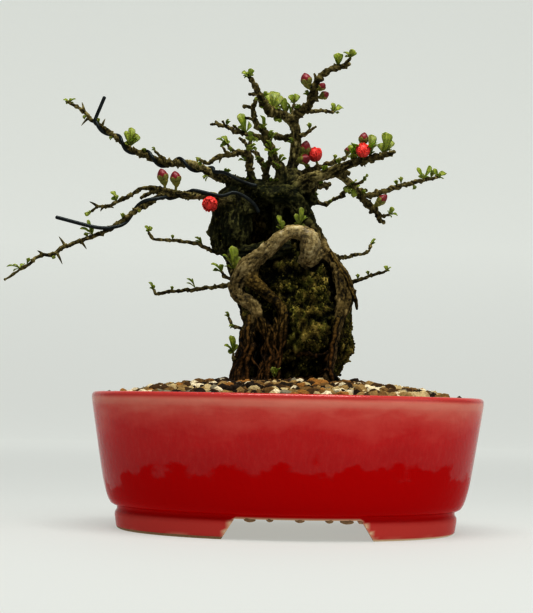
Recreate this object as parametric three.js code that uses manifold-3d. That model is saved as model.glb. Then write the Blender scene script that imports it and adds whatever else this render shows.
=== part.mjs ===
// A flowering japanese quince bonsai that grows over a rock, in an oval glazed pot, in millimetres, +Z up.
// The tree's wood is one grown piece: trunk, roots over the rock, branches, twigs, thorns and bud stalks.
// Leaf tufts, buds, blooms, rock, soil, training wire, pot and drain screens are separate pieces.
import * as THREE from "three";
import { mergeVertices } from "three/addons/utils/BufferGeometryUtils.js";
import Module from "manifold-3d";

const wasm = await Module();
wasm.setup();

// Driving dimensions

const GAP = 0.3; // clearance between pieces that touch
const POT = {
  halfLength: 105,
  halfDepth: 81,
  height: 72,
  wall: 6.5,
  underside: 10,
  floor: 18,
  groove: 0.8, // the groove above the foot ring goes this far in from its foot
  grooveHeight: 2.4,
  footWidth: 9,
  gapTop: 31.4, // half width of the opening between the feet, at its top
  gapFoot: 38.4, // and where the feet stand
  gapShift: 5.2, // the opening lies this far right of the middle
  relief: 0.3, // and this far into the pot's underside
  segments: 32,
};
const DRAIN = { x: 36, radius: 7, length: 20, z: 14, sides: 16 };
const SCREEN = { side: 24, thick: 0.8, holes: 2 };
const SOIL = { edge: 70.2, rise: 9.6, dome: 1.5, grain: 17.6, relief: 1.8, jitter: 1.4 };
const ROCK = { x: 4, z: 108, halfX: 27, halfY: 23.5, halfZ: 46, squareness: 0.18, roughness: 1.1, detail: 4 };
const ROCK_FOOT = { top: -6, depth: 34, slant: 11 }; // below "top" the rock runs to the left
const WIRE = { radius: 0.95, sides: 5, step: 4.2 };
const LEAF = { thick: 0.62, fold: 0.28, arch: 0.12, knot: 0.9, large: 3.9 };

// Wood, as stations [x, y, z, radius] from where a limb leaves its parent to its tip.
// x runs to the right, y to the back and z up, from the middle of the pot's foot.

const TRUNK = {
  hood_left: [
    [-25, -4, 184, 6], [-30, -6, 177, 9.5], [-31.5, -7, 167, 11], [-32.5, -7, 157, 11.3],
    [-32, -6, 149, 8.8],
  ],
  hood_top: [[-29, -3, 180, 7], [-17, -1, 181, 7], [-4, 0, 181, 7.2], [4, 0, 178, 6.5]],
  hood_right: [[1, 0, 182, 7], [6, -2, 172, 5.2], [9.5, -4, 162, 5.4], [14.5, -7, 152, 5.8]],
  hood_front: [[-24, -9, 179, 5], [-12, -12, 179, 5], [-1, -9.5, 178, 5.6], [6, -6, 170, 5]],
  hood_back: [[-22, 9, 178, 8.5], [-13, 15, 171, 9.5], [-7, 17, 159, 10.5], [-3, 16, 145, 9]],
  hood_back_right: [[2, 6, 181, 6.5], [1.5, 12, 171, 6.5], [4, 13, 160, 7.5], [6, 12, 148, 7]],
  hood_foot: [
    [-31, -8, 147.5, 5.5], [-24, -12, 146, 5.2], [-17, -14, 147.5, 4.8], [-10, -13, 149.5, 4.8], [-2, -9, 150, 5],
  ],
  hood_inner: [[-8, -6, 177, 3.8], [-7.5, -9, 168, 2.6], [-7, -10, 160, 3.2], [-4, -5, 148, 5]],
};

const ROOTS = {
  loop: [
    [7.6, -21, 142.6, 4.4], [8.9, -25, 146, 5.2], [9.8, -26.5, 151, 5.7], [8.6, -27.5, 155, 4.9],
    [4.3, -28, 157, 4.4], [-0.9, -27.5, 157, 4.4],
    [-5.5, -27, 154.4, 4.3], [-9.6, -26, 150.2, 4.3], [-14, -25, 146.4, 4.4], [-19, -24, 142.6, 4.9],
    [-23.2, -23, 138.6, 5.3],
    [-26.6, -22, 133.4, 5], [-28.6, -21, 127.8, 4.3], [-26.5, -22.5, 123, 3.9], [-21.5, -24, 120.4, 3.7],
    [-18.2, -25, 116.8, 3.4],
    [-17.4, -26, 112.4, 3.2], [-19.6, -25.5, 106.5, 2.8], [-21.5, -25, 97, 2.4], [-22.5, -25, 87, 2.4],
    [-26, -28, 71, 2.9],
  ],
  loop_neck: [[14, -7, 152, 5.5], [12, -14, 146, 5], [8, -21.5, 142.5, 5]],
  middle: [
    [-20, -22, 138, 4], [-21, -24, 132.5, 3.8], [-16, -26, 127.6, 3.4], [-10.5, -27.5, 123.2, 3.1],
      [-6, -28, 118.6, 2.9],
    [-3.7, -28, 113, 2.7],
    [-4, -27, 106, 2.3], [-4.5, -26, 98, 1.9], [-6, -26, 88, 1.9], [-8, -27, 71, 2.4],
  ],
  middle_left: [
    [-4, -27, 112, 2.4], [-8, -27, 105, 2], [-9, -26, 97, 1.8], [-11, -26, 86, 1.9], [-13, -27, 71, 2.2],
  ],
  left_inner: [
    [-18, -25, 114, 2.4], [-13.5, -26, 108, 1.9], [-11.5, -26, 99, 1.6], [-13, -26, 90, 1.6],
    [-17, -27, 71, 2],
  ],
  left_outer: [
    [-20, -24, 111, 2.6], [-22.5, -22, 105, 2.2], [-23.5, -20, 96, 2], [-27.5, -21, 86, 2.1], [-30.5, -25, 70, 2.6],
  ],
  right: [
    [9.5, -5, 158, 6.4], [15, -9, 152, 5], [19.6, -13, 145.5, 4.2], [23.9, -16, 138.5, 3.5], [26.3, -19, 131, 3],
    [26.7, -21, 123, 2.6], [25.3, -23, 114, 2.2], [24, -24, 103, 2], [22.3, -24, 92, 2.1], [18, -26, 71, 2.8],
  ],
  right_outer: [
    [16, -8, 153, 3.2], [22, -11, 145.5, 2.4], [28, -14, 138, 2.2], [31.6, -16, 130, 1.9], [31.8, -18, 122, 1.7],
    [28, -20.5, 113, 1.5], [24.5, -23, 104, 1.4],
  ],
  right_hanging: [[30.5, -16, 134, 1.1], [33.8, -17, 126, 0.9], [35.4, -17, 118, 0.7]],
  front_fine: [[22, -24, 95, 1.1], [15, -25, 92.5, 0.9], [9, -24.5, 94, 0.8], [4, -22, 93, 0.8]],
  side_left: [
    [-31, -1, 153, 7], [-29, 3, 138, 4.6], [-25, 6, 122, 3.6], [-21.5, 5, 106, 3], [-27, 4, 90, 2.8],
    [-30, 3, 71, 3.2],
  ],
  side_right: [
    [10.5, -3, 158, 5.2], [20.5, 0, 146, 3.7], [29.5, 3, 132, 2.8], [32, 4, 116, 2.2], [28.5, 4, 99, 2],
    [22, 4, 85, 2], [19, 5, 71, 2.6],
  ],
  back_left: [
    [-22, 10, 168, 9], [-27, 15, 149, 5.6], [-27.5, 18, 134, 4.2], [-22.5, 21, 119, 3.5], [-21, 22, 104, 3],
    [-26, 22, 89, 2.8], [-30, 24, 71, 3.2],
  ],
  back_middle: [
    [-9, 13, 156, 9], [-13, 21, 141, 4.8], [-8, 25, 128, 3.9], [-12, 26, 113, 3.2], [-9, 26, 97, 2.8],
    [-13, 29, 71, 3],
  ],
  back_right: [
    [0, 10, 156, 8], [8, 18, 143, 4.8], [12, 23, 130, 3.9], [8, 25, 115, 3], [11, 25, 99, 2.6],
    [9, 28, 71, 2.8],
  ],
};

const BRANCHES = {
  high_left: [
    [-23, -6, 182, 4.2], [-34, -4, 188, 2.8], [-43, -1, 191, 2.4], [-51, 1.5, 195.5, 2.1],
    [-60, 4, 197.5, 1.9],
    [-70, 6.5, 198, 1.7], [-82, 9, 203, 1.5], [-90, 11, 206.5, 1.3], [-97, 13.5, 212, 1.2],
    [-104, 16, 217.5, 1.1],
    [-111, 18.5, 222.5, 1], [-116, 21, 228, 0.9], [-122, 23.5, 232, 0.8], [-127.5, 26, 235, 0.6],
  ],
  low_left: [
    [-26, -12, 171, 3.6], [-37, -15.5, 174.5, 2.6], [-46, -16.5, 177, 2.2], [-54, -18, 176.5, 2],
    [-62, -19.5, 177, 1.9],
    [-68, -20.5, 177, 1.6], [-74, -22, 172.5, 1.4], [-80, -23, 169, 1.3], [-92, -25.5, 159.5, 1.2],
    [-98, -27, 155.5, 1.1], [-111, -29.5, 149.5, 1], [-118.5, -31, 146.5, 0.95], [-124, -32, 142.5, 0.9],
    [-130, -33.5, 141.5, 0.8], [-137.5, -34.5, 136, 0.7], [-148, -36, 128.5, 0.5],
  ],
  low_left_side: [
    [-64, -21, 177.5, 1.1], [-72, -19.5, 180, 1.1], [-80, -17.5, 180, 1], [-86, -15, 176.5, 1],
    [-92.5, -13, 173.5, 0.9],
    [-98.5, -10.5, 171, 0.8], [-104, -8.5, 171, 0.7], [-107.5, -6, 168.5, 0.6],
  ],
  low_left_stub: [[-67, -20, 177, 1.3], [-74, -18.5, 178, 1], [-80.5, -17.5, 174.5, 0.8]],
  high_left_stub: [[-69, 5, 198.5, 1], [-72, 2, 201, 0.8], [-75, 1, 203.5, 0.6]],
  thin_top_left: [
    [-30, -1, 147, 1.4], [-41, -6.5, 148, 1], [-49.5, -9.5, 151.5, 0.9], [-59.5, -12, 153, 0.8],
    [-67.5, -14.5, 153, 0.7],
    [-73, -17.5, 153, 0.7], [-75.5, -20, 156.5, 0.6],
  ],
  thin_low_left: [
    [-29, -18, 130, 1.4], [-36.5, -9, 129.5, 1], [-45.5, -4, 128.5, 0.9], [-56, -1, 127.5, 0.9],
    [-66, 2, 126.5, 0.8],
    [-72, 5, 125.5, 0.7], [-74.5, 8, 128, 0.6],
  ],
  leader: [
    [-4, 0, 180, 4], [-1, 0, 191, 2.9], [1.5, -1, 203, 2.3], [2, -1, 213, 2.1], [0.5, -1.5, 221, 2.1],
    [2, -2, 226, 1.8],
  ],
  apex_right: [
    [1.5, -2, 224, 1.7], [7.5, -4.5, 228.5, 1.6], [10, -6.5, 233, 1.7], [11, -9, 238, 1.4],
    [13.5, -11, 242.5, 1.4],
    [18, -13.5, 246, 1.2], [24.5, -15.5, 248, 1.1], [29.5, -18, 249.5, 0.7],
  ],
  apex_right_tip: [[24, -15.5, 247.5, 1], [28, -16.5, 250.5, 0.8], [30, -18, 252.5, 0.6]],
  apex_right_stub: [[12.5, -10, 241, 0.9], [11, -10, 245.5, 0.5]],
  apex_twig_right: [
    [2, -2, 225, 1.3], [5, 0, 227, 1.2], [10.5, 7.5, 228.5, 1], [17, 14.5, 230, 0.9], [23, 22, 231, 0.7],
  ],
  apex_left: [
    [1, -2, 220.5, 2.1], [-6.5, -6, 223.5, 1.8], [-12, -10, 224, 1.7], [-16, -14, 228, 1.4],
    [-19, -18, 233, 1.2],
    [-22, -22, 237, 1], [-24, -26, 239.5, 0.8],
  ],
  apex_left_stub: [[-18.5, -17.5, 232, 1], [-21.5, -19.5, 231.5, 0.8], [-24, -21, 231, 0.7]],
  leader_top: [[1, -2, 223, 1.3], [-0.5, 2, 227.5, 0.9], [0.5, 6, 232, 0.7]],
  mid_left: [
    [-4, -6, 182, 3.4], [-6, -8.5, 193, 2.5], [-10, -9, 198, 2.2], [-11.5, -9.5, 204, 2],
    [-14, -10, 208, 1.8],
    [-15.5, -10, 212, 1.6], [-19.5, -10.5, 217, 1.3], [-21.5, -11, 223, 1.1], [-21, -12, 230, 0.9],
  ],
  mid_left_stub_high: [[-21.5, -11.5, 225.5, 0.9], [-24, -15, 225.5, 0.7], [-26.5, -18, 225, 0.9]],
  mid_left_stub_low: [[-20.5, -11, 219, 0.8], [-23.5, -14, 219.5, 0.7], [-25.5, -16, 219.5, 0.5]],
  back_left_arm: [
    [1.5, 0, 212.5, 2], [-5, 5.5, 213, 1.6], [-12, 9, 215, 1.6], [-19, 12.5, 214.5, 1.4],
    [-25, 16, 216.5, 1.3],
    [-31.5, 19.5, 218.5, 1.1], [-36.5, 23, 221.5, 0.9], [-42, 26.5, 223.5, 0.8], [-46, 30, 224.5, 0.6],
  ],
  back_left_fork_tip: [[-39.5, 25, 222.5, 0.7], [-42, 27.5, 224.5, 0.6], [-43.5, 30, 226, 0.5]],
  back_left_fork_mid: [[-35, 22, 220.5, 0.8], [-38, 21, 222.5, 0.6], [-39.5, 20, 224, 0.5]],
  back_left_fork_low: [[-29.5, 18.5, 218, 0.8], [-31.5, 16, 220, 0.6], [-32.5, 14, 221, 0.5]],
  front_left: [
    [-20, -6, 182, 3], [-23, -11, 193, 1.8], [-23, -14, 199, 1.6], [-26, -17, 200.5, 1.4],
    [-31, -20, 199.5, 1.2],
    [-36, -23, 197.5, 1.1], [-41, -26, 195.5, 1], [-45, -29, 192, 0.9], [-48.5, -32, 194, 0.6],
  ],
  front_left_link: [[-23, -11, 201, 0.9], [-25.5, -2, 208, 0.8], [-29, 6, 212.5, 0.6]],
  front_left_post: [[-23, -13, 198, 1.3], [-23.5, -10, 203.5, 1], [-23, -8, 208, 0.7]],
  front_left_fork: [[-29.5, -19.5, 200, 1], [-33.5, -18.5, 202, 0.8], [-35, -17, 204.5, 0.6]],
  front_left_fork_outer: [[-33.5, -22, 198.5, 0.9], [-36, -25, 200, 0.7], [-37, -27, 201.5, 0.5]],
  inner_left: [
    [-15, 0, 184, 2.6], [-14, 1, 193, 1.6], [-16.5, 4, 198.5, 1.3], [-19, 7, 203.5, 1.1],
    [-21.5, 10, 206, 0.8],
  ],
  inner_left_fork: [[-14, 0, 192, 1.3], [-12.5, -3, 198, 1], [-11.5, -8, 202.5, 0.8]],
  right_twig: [[2, -2, 210.5, 1.3], [5.5, -7.5, 212.5, 1], [8.5, -11.5, 213.5, 0.8], [12, -16, 215.5, 0.5]],
  front_right: [
    [-1, -5, 181, 4.4], [8.5, -10, 188, 3], [17, -13.5, 190, 2.6], [23.5, -17, 192, 2.6],
    [27.5, -21, 193.5, 2],
    [33.5, -25, 195.5, 1.8], [40, -28.5, 196.5, 1.6], [46, -32, 197.5, 1.3], [52.5, -36, 199, 0.9],
  ],
  front_right_upper: [
    [-1, 0, 189, 2.2], [10.5, 2.5, 195, 1.5], [16.5, 5, 197.5, 1.3], [23, 7.5, 200.5, 1.1],
    [29.5, 10, 203, 0.8],
  ],
  front_right_knob: [[22, -15.5, 192, 1.9], [27.5, -13.5, 191, 1.7], [30.5, -12.5, 191, 1.4]],
  low_right: [
    [22, -15.5, 192.5, 2.2], [28.5, -11, 188, 2], [33.5, -7.5, 184, 1.9], [38, -4, 179.5, 1.8],
    [42, -0.5, 176, 1.7],
    [46, 2.5, 172.5, 1.5], [49, 6, 167.5, 1],
  ],
  low_right_tip: [[46.5, 3, 172, 1.1], [50, 5, 170.5, 0.9], [53.5, 7.5, 172, 0.7]],
  low_right_foot: [[47.5, 4.5, 169.5, 1], [51, 8, 167.5, 0.8]],
  far_right: [
    [37.5, -5, 179.5, 1.6], [44.5, -0.5, 181.5, 1.4], [52, 5.5, 185, 1.3], [60, 11, 188.5, 1.2],
    [67.5, 16.5, 191, 1.1],
    [75.5, 22.5, 194, 1], [82.5, 28, 196, 0.7],
  ],
  right_stub_front: [[31.5, -9.5, 185.5, 1], [35, -14.5, 185.5, 0.8], [37.5, -18, 186, 0.7]],
  right_stub_back: [[34, -7.5, 183, 1.1], [37.5, -4.5, 183.5, 1], [40.5, -1.5, 184, 0.9]],
  right_loop: [
    [3, 3, 183, 2.4], [10, 5.5, 183, 1.8], [13.5, 5.5, 178.5, 1.4], [18, 4.5, 176.5, 1.1], [23, 3, 179, 1],
    [27.5, 0, 181, 1], [29.5, -6, 185, 1],
  ],
  right_shoulder: [[0, 4, 182, 3], [9.5, 7, 187, 2], [16, 8.5, 187, 1.7], [21.5, 10.5, 188.5, 1.2]],
  thin_top_right: [
    [22, -6, 147, 1.3], [29.5, 10, 148, 1], [37, 17, 150.5, 0.8], [43, 21.5, 152.5, 0.7],
    [45.5, 26, 157, 0.6],
  ],
  thin_low_right: [[30, 2, 132, 1.2], [38.5, 1, 135.5, 0.9], [45.5, -2, 138, 0.8], [52, -6, 139.5, 0.6]],
  sprout_left: [[-29, -19, 132, 1.1], [-34, -19, 133.5, 0.9], [-36.5, -20, 136, 0.7]],
  sprout_tall: [[-29, -21, 133, 1.3], [-31, -22, 135, 1], [-30.5, -22, 137.5, 0.8]],
  sprout_mid: [[-22.5, -22, 106, 1.1], [-29.5, -19, 107.5, 0.8], [-32, -18, 112, 0.6]],
  sprout_low: [[-28, -20, 89, 1.2], [-29.5, -21, 91, 0.8], [-29.5, -21, 93.5, 0.6]],
};

// Thorns, as [limb, place along it from 0 to 1, dx, dy, dz of the point].
const THORNS = [
  ["high_left", 0.89, -1.5, 1, 5.5],
  ["high_left", 0.85, -4.5, 0, -5],
  ["high_left", 0.77, 2, -1, 4.5],
  ["low_left", 0.74, -3.5, -1, 5],
  ["low_left", 0.83, -3.5, 1, 2.5],
  ["low_left", 0.78, 3.5, -1, -6.5],
  ["low_left", 0.68, 3, 2, -4],
  ["low_left_side", 0.9, -4.5, -1, 2.5],
  ["low_left_side", 0.78, 3, 3, -0.5],
  ["low_left_side", 0.83, -1.5, -2, -3],
  ["far_right", 0.3, 1, 3, -3],
  ["front_right", 0.72, 1, -1, -4],
  ["front_left", 0.72, -1, 3, -3],
];

// Leaf tufts, as name: [limb, place along it, then each leaf's dx, dy, dz to its tip and its width].
const TUFTS = {
  leaves_high_tip: ["high_left", 0.98, [-3.5, 1, 2, 1.8], [3.5, -1, 2, 2.2]],
  leaves_high_middle: ["high_left", 0.6, [-2, -2, 9, 3], [1, 1, 11.5, 3.2], [4.5, 2, 8, 3.4]],
  leaves_low_tip: ["low_left", 0.93, [-7, -1, 1, 2], [1, 3, 3, 2]],
  leaves_low_wire: ["low_left", 0.63, [-6.5, -3, 3.5, 2.4], [-3, 0, 8.5, 1.4]],
  leaves_low_side_tip: ["low_left_side", 1, [-3, -1, -2.5, 2.6]],
  leaves_low_side_top: ["low_left_side", 0.66, [-3.5, 0, 5.5, 3]],
  leaves_thin_top_tip: ["thin_top_left", 1, [-2, -1, 3, 2], [1, 1, 3, 1.8]],
  leaves_thin_low_tip: ["thin_low_left", 1, [-2.5, -1, 4, 2.6]],
  leaves_sprout_tall: ["sprout_tall", 1, [-1, -2.5, 12, 4.6], [-5.5, -4, 7, 4], [3.5, -1, 6.5, 3.4]],
  leaves_sprout_left: ["sprout_left", 1, [-5.5, -2, 4, 3.4]],
  leaves_sprout_low: ["sprout_low", 1, [-1.5, -1, 9, 3], [-4.5, -3, 3.5, 3.4]],
  leaves_right_twig: ["apex_twig_right", 1, [5, 1.5, 3, 4], [-1, -1, 5, 2.4]],
  leaves_leader_top: ["leader_top", 1, [-2.5, -1, 4.5, 3], [1.5, 1, 5.5, 3]],
  leaves_upper_inner: ["front_right", 0.65, [-3, 0, 9, 4], [1, -5, 7.5, 4.4]],
  leaves_upper_middle: ["front_right", 0.78, [1, 2, 13, 3.6], [3, -4.5, 6, 3.4]],
  leaves_upper_outer: ["front_right", 0.9, [1, -1, 12, 5], [4, 2, 8.5, 4.2]],
  leaves_far_tip: ["far_right", 1, [4.5, 1, 3, 3.6], [-2.5, -1, 5, 2]],
  leaves_far_pair: ["far_right", 0.8, [-3.5, -1, 7, 1.8], [4, 1, 8.5, 2.2]],
  leaves_right_stub: ["right_stub_front", 1, [2.5, -1.5, 2.5, 3.4]],
  leaves_elbow: ["low_right", 0.33, [-3, -4, -4.5, 4], [2, -5, 1.5, 3.4], [1, -3.5, -7, 3]],
  leaves_low_right: ["low_right_tip", 1, [2, -1, 4, 2.2], [5, 1, -0.5, 2.6]],
  leaves_thin_right_top: ["thin_top_right", 1, [2.5, 0, 3.5, 2.4]],
  leaves_thin_right_low: ["thin_low_right", 1, [2, -1, 2, 1.6], [-1, 1, 3, 1.8]],
  leaves_apex_left_tip: ["apex_left", 1, [-4, -1, 1.5, 3], [1, -1, 4, 2.6]],
  leaves_crown_back: ["apex_left", 0.36, [-3.5, 2, 11, 3.6], [1, 4, 12, 4.6], [4.5, 2, 9.5, 3.4]],
  leaves_crown_left: ["apex_left", 0.5, [-6.5, -3.5, 2.5, 4.2]],
  leaves_crown_middle: ["apex_left", 0.16, [-2, -3.5, 9.5, 3.4]],
  leaves_under_fork: ["apex_left", 0.2, [-4, -3, -4, 2.8]],
  leaves_inner_left: ["back_left_arm", 0.56, [-3.5, -1, 11, 3.8]],
  leaves_inner_middle: ["mid_left", 0.66, [-1, -5, 7.5, 3.4]],
  leaves_front_left: ["front_left_fork", 1, [-6, -1, 2.5, 3], [-3, 1, 4.5, 3.4]],
  leaves_post: ["front_left_post", 1, [-0.5, -1, 5.5, 2.8]],
  leaves_inner_low: ["mid_left", 0.38, [-4.5, -6, 2, 3.4], [3.5, -6, 3, 3.2]],
  leaves_front_base: ["front_left", 0.3, [-7, -3, 6, 4.2]],
  leaves_inner_base: ["mid_left", 0.2, [-5, -6, 4, 3.4]],
  leaves_apex_tip: ["apex_right_tip", 1, [0.5, -1, 4.5, 2.6], [-4, 0.5, 3, 2.8]],
  leaves_foot: ["middle", 0.87, [-2, -4, 5.5, 2.6], [2.5, -4.5, 5, 2.6]],
  leaves_hollow_left: ["loop", 0.22, [-3.5, -2, 10.5, 2.4], [-0.5, -3, 7.5, 2]],
  leaves_hollow_right: ["loop", 0.155, [-2.2, -2, 9.5, 2.2], [0.8, -2.5, 13, 2.4], [3.4, -2, 8.5, 2.2]],
};

// The smallest leaf buds stay on their twigs, as [limb, place along it, dx, dy, dz, width].
const LEAF_BUDS = [
  ["high_left", 0.86, -2.5, -1.5, -2, 1.8],
  ["high_left", 0.79, -0.5, -1, 3.5, 2],
  ["high_left", 0.69, -2.5, -1.5, -1.5, 1.8],
  ["high_left", 0.27, 0.5, 1, 5, 2.2],
  ["high_left", 0.19, -4, -2, -3.5, 2],
  ["low_left", 0.79, -0.5, -1, -3, 1.6],
  ["low_left", 0.65, -2, -2, 2, 2],
  ["low_left", 0.43, 1, -2.5, -2, 1.8],
  ["sprout_mid", 0.5, -3.5, -2, 0, 2],
  ["sprout_mid", 0.95, -2.5, -1, 3.5, 2.2],
  ["far_right", 0.65, 1.5, -1, -3.5, 2],
  ["thin_low_right", 0.55, -1, -1, 3, 2],
  ["thin_low_right", 0.3, -0.5, -1, 3.5, 2],
  ["apex_right", 0.85, -0.5, -2, 5, 2.6],
  ["apex_right", 0.3, -4, -1, 3.5, 2.8],
  ["front_right_upper", 0.8, 0.5, 0, 4, 2],
  ["right_loop", 0.55, 2, -2.5, 0.5, 1.8],
  ["front_left", 0.97, -1.5, 0.5, -2.5, 1.8],
  ["back_left_arm", 0.7, 0.5, -1, 3, 1.8],
  ["inner_left", 0.9, -1, 1, 3, 2],
  ["high_left_stub", 0.9, -2.5, 1, 2.5, 1.8],
  ["thin_top_left", 0.38, -4, -2, 4.5, 2.2],
  ["thin_low_left", 0.5, -5, -2, 5.5, 1.6],
  ["right_twig", 0.72, -1, -1.5, 4, 2.6],
  ["far_right", 0.51, -0.5, 0, 5, 1.8],
];

// Flower buds, as name: [limb, place along it, calyx dx, dy, dz, bud tip dx, dy, dz, bud radius].
const BUDS = {
  bud_left_outer: ["low_left_side", 0.07, -0.5, -1, 4.5, -2.5, -2, 11.5, 2.4],
  bud_left_inner: ["low_left", 0.27, 0.5, -1, 5.5, -0.5, -2, 12, 2.4],
  bud_apex_left: ["apex_right", 0.37, -3, -2, 3.5, -5, -3, 10, 2.5],
  bud_apex_middle: ["apex_right", 0.4, 3.5, -4, 0, 5.5, -6.5, 2.5, 1.6],
  bud_apex_right: ["apex_right", 0.3, 5, -1, 0.5, 9, -2, 2.5, 1.8],
  bud_right_upper: ["leader", 0.5, 5, -3.5, -0.5, 6, -5.5, 6.5, 2.4],
  bud_right_lower: ["leader", 0.4, 3.5, -5, 0.5, 9, -8, 1.5, 2.4],
  bud_upper_tall: ["front_right", 0.73, -1, 0.5, 8.5, 0, 0, 14.5, 2.1],
  bud_upper_small: ["front_right_upper", 1, 1, -1, 2.5, 1.5, -2, 6, 1.6],
  bud_low_right: ["low_right", 0.74, 3.5, -1, 1.5, 8.5, -2, 6.5, 2],
};

// Open blooms, as name: [limb, place along it, dx, dy, dz of the middle, radius].
const BLOOMS = {
  bloom_left: ["low_left", 0.13, -0.5, -5.5, -4, 3.9],
  bloom_right: ["front_right_upper", 0.5, -2, -6, 6, 3.8],
  bloom_upper: ["front_right", 0.72, -0.5, -5.5, 4, 3.6],
};

// Training wires: a free end, turns round a branch towards the trunk and a tail that lies against it.
// "start" is the first turn's angle in radians, 0 on top of the branch and negative in front of it.
const WIRES = {
  wire_high: {
    limb: "high_left", from: 0.8, to: 0.17, turns: 4, start: -1.1,
    free: [[-105, 17.5, 236], [-110, 15.8, 222]],
    tail: [[-36, -9.5, 190.5], [-29, -13, 186.5], [-23, -15, 184], [-19, -15.5, 183]],
  },
  wire_low: {
    limb: "low_left", from: 0.57, to: 0.19, turns: 1.9, start: -1.1,
    free: [[-123, -31, 162], [-104, -30.5, 157.5]],
    tail: [
      [-38, -20.6, 176.5], [-31, -19.5, 178.5], [-25, -18.6, 176.5], [-20, -18.4, 172.5],
      [-17.5, -18.4, 168.5],
    ],
  },
};

const COLOURS = {
  pot: ["#a8161b", 0.16], screen: ["#20221f", 0.7], soil: ["#a98a62", 0.95], rock: ["#4a4630", 0.95],
  wood: ["#4b3b2c", 0.9], wire: ["#17191a", 0.45], leaf: ["#8fb038", 0.6], bud: ["#b01f33", 0.5],
  bloom: ["#e2323a", 0.55],
};

// Shared helpers

const vec = ([x, y, z]) => new THREE.Vector3(x, y, z);

// A repeatable draw from 0 to 1 for a whole number.
function draw(number) {
  const wave = Math.sin(number * 127.1 + 311.7) * 43758.5453;
  return wave - Math.floor(wave);
}

function solid(geometry) {
  const bare = geometry.clone();
  bare.deleteAttribute("normal");
  bare.deleteAttribute("uv");
  const merged = mergeVertices(bare, 1e-3);
  return new wasm.Manifold(
    new wasm.Mesh({
      numProp: 3,
      vertProperties: new Float32Array(merged.attributes.position.array),
      triVerts: new Uint32Array(merged.index.array),
    }),
  );
}

function geometryOf(manifold) {
  const mesh = manifold.getMesh();
  const places = new Float32Array(mesh.numVert * 3);
  for (let i = 0; i < mesh.numVert; i++) {
    places.set(mesh.vertProperties.subarray(i * mesh.numProp, i * mesh.numProp + 3), i * 3);
  }
  return new THREE.BufferGeometry()
    .setAttribute("position", new THREE.BufferAttribute(places, 3))
    .setIndex(new THREE.BufferAttribute(new Uint32Array(mesh.triVerts), 1));
}

const join = (solids) => solids.reduce((sum, next) => sum.add(next));

// The largest body, without the loose scraps that a cut leaves.
function largest(manifold) {
  const bodies = manifold.decompose();
  return bodies.reduce((best, body) => (body.volume() > best.volume() ? body : best));
}

// Limbs

const BARK = 0.16;
const UPRIGHT = new THREE.Vector3(0, 1, 0);

// How many sides a limb has, by its widest radius.
const LIMB_SIDES = [
  { over: 7, sides: 8 },
  { over: 4.5, sides: 6 },
  { over: 2, sides: 5 },
  { over: 1.1, sides: 4 },
  { over: 0, sides: 3 },
];

const ALL_LIMBS = { ...TRUNK, ...ROOTS, ...BRANCHES };

// Each station's place, its way along the limb and two directions across it, turned as little as possible.
function limbFrames(stations) {
  const curve = new THREE.CatmullRomCurve3(stations.map(vec), false, "centripetal");
  let normal = new THREE.Vector3(0.3, 0.2, 1);
  return stations.map((station, index) => {
    const tangent = curve.getTangent(index / (stations.length - 1));
    normal = normal.clone().addScaledVector(tangent, -normal.dot(tangent)).normalize();
    const binormal = new THREE.Vector3().crossVectors(tangent, normal);
    return { point: vec(station), tangent, normal, binormal, radius: station[3] };
  });
}

// A round stem through its stations, bent from a cylinder. "bark" is how uneven it is, as a share of its
// radius, and "swell" makes it wider and longer for cutting a clear seat.
function stem(stations, sides, bark = 0, swell = 0) {
  const frames = limbFrames(stations);
  const steps = frames.length - 1;
  const seed = Math.round(stations[0][0] * 7 + stations[0][2] * 13 + stations[steps][0] * 3);
  const tube = new THREE.CylinderGeometry(1, 1, 1, sides, steps);
  const places = tube.attributes.position;
  for (let i = 0; i < places.count; i++) {
    const ring = Math.round((0.5 - places.getY(i)) * steps);
    const { point, tangent, normal, binormal, radius } = frames[ring];
    const across = places.getX(i);
    const up = places.getZ(i);
    const side = Math.round((Math.atan2(up, across) / (2 * Math.PI) + 1) * sides) % sides;
    const reach = radius * (1 + bark * (draw(seed + ring * 17 + side) - 0.5)) + swell;
    const end = ring === 0 ? -swell : ring === steps ? swell : 0;
    const moved = point
      .clone()
      .addScaledVector(tangent, end)
      .addScaledVector(normal, across * reach)
      .addScaledVector(binormal, up * reach);
    places.setXYZ(i, moved.x, moved.y, moved.z);
  }
  return solid(tube);
}

function limb(name, swell = 0) {
  const stations = ALL_LIMBS[name];
  const widest = Math.max(...stations.map((station) => station[3]));
  const { sides } = LIMB_SIDES.find((grade) => widest > grade.over);
  return stem(stations, sides, sides < 5 ? 0 : BARK, swell);
}

// The point at a share of a limb's length, with the limb's direction and radius there.
function onLimb(name, along) {
  const stations = ALL_LIMBS[name];
  const points = stations.map(vec);
  const spans = points.slice(1).map((point, i) => point.distanceTo(points[i]));
  let left = along * spans.reduce((sum, span) => sum + span, 0);
  let index = 0;
  while (index < spans.length - 1 && left > spans[index]) {
    left -= spans[index];
    index += 1;
  }
  const share = left / spans[index];
  return {
    point: points[index].clone().lerp(points[index + 1], share),
    direction: points[index + 1].clone().sub(points[index]).normalize(),
    radius: THREE.MathUtils.lerp(stations[index][3], stations[index + 1][3], share),
  };
}

// A straight spike with its point at "tip".
function spike(base, tip, radius, sides) {
  const span = tip.clone().sub(base);
  const cone = new THREE.ConeGeometry(radius, span.length(), sides, 1);
  cone.applyQuaternion(new THREE.Quaternion().setFromUnitVectors(UPRIGHT, span.clone().normalize()));
  const middle = base.clone().add(tip).multiplyScalar(0.5);
  return solid(cone.translate(middle.x, middle.y, middle.z));
}

// What grows from a limb: the point it starts from and the point that lies dx, dy, dz away.
function growth([name, along, dx, dy, dz]) {
  const { point } = onLimb(name, along);
  return [point, point.clone().add(new THREE.Vector3(dx, dy, dz))];
}

// Leaves

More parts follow.
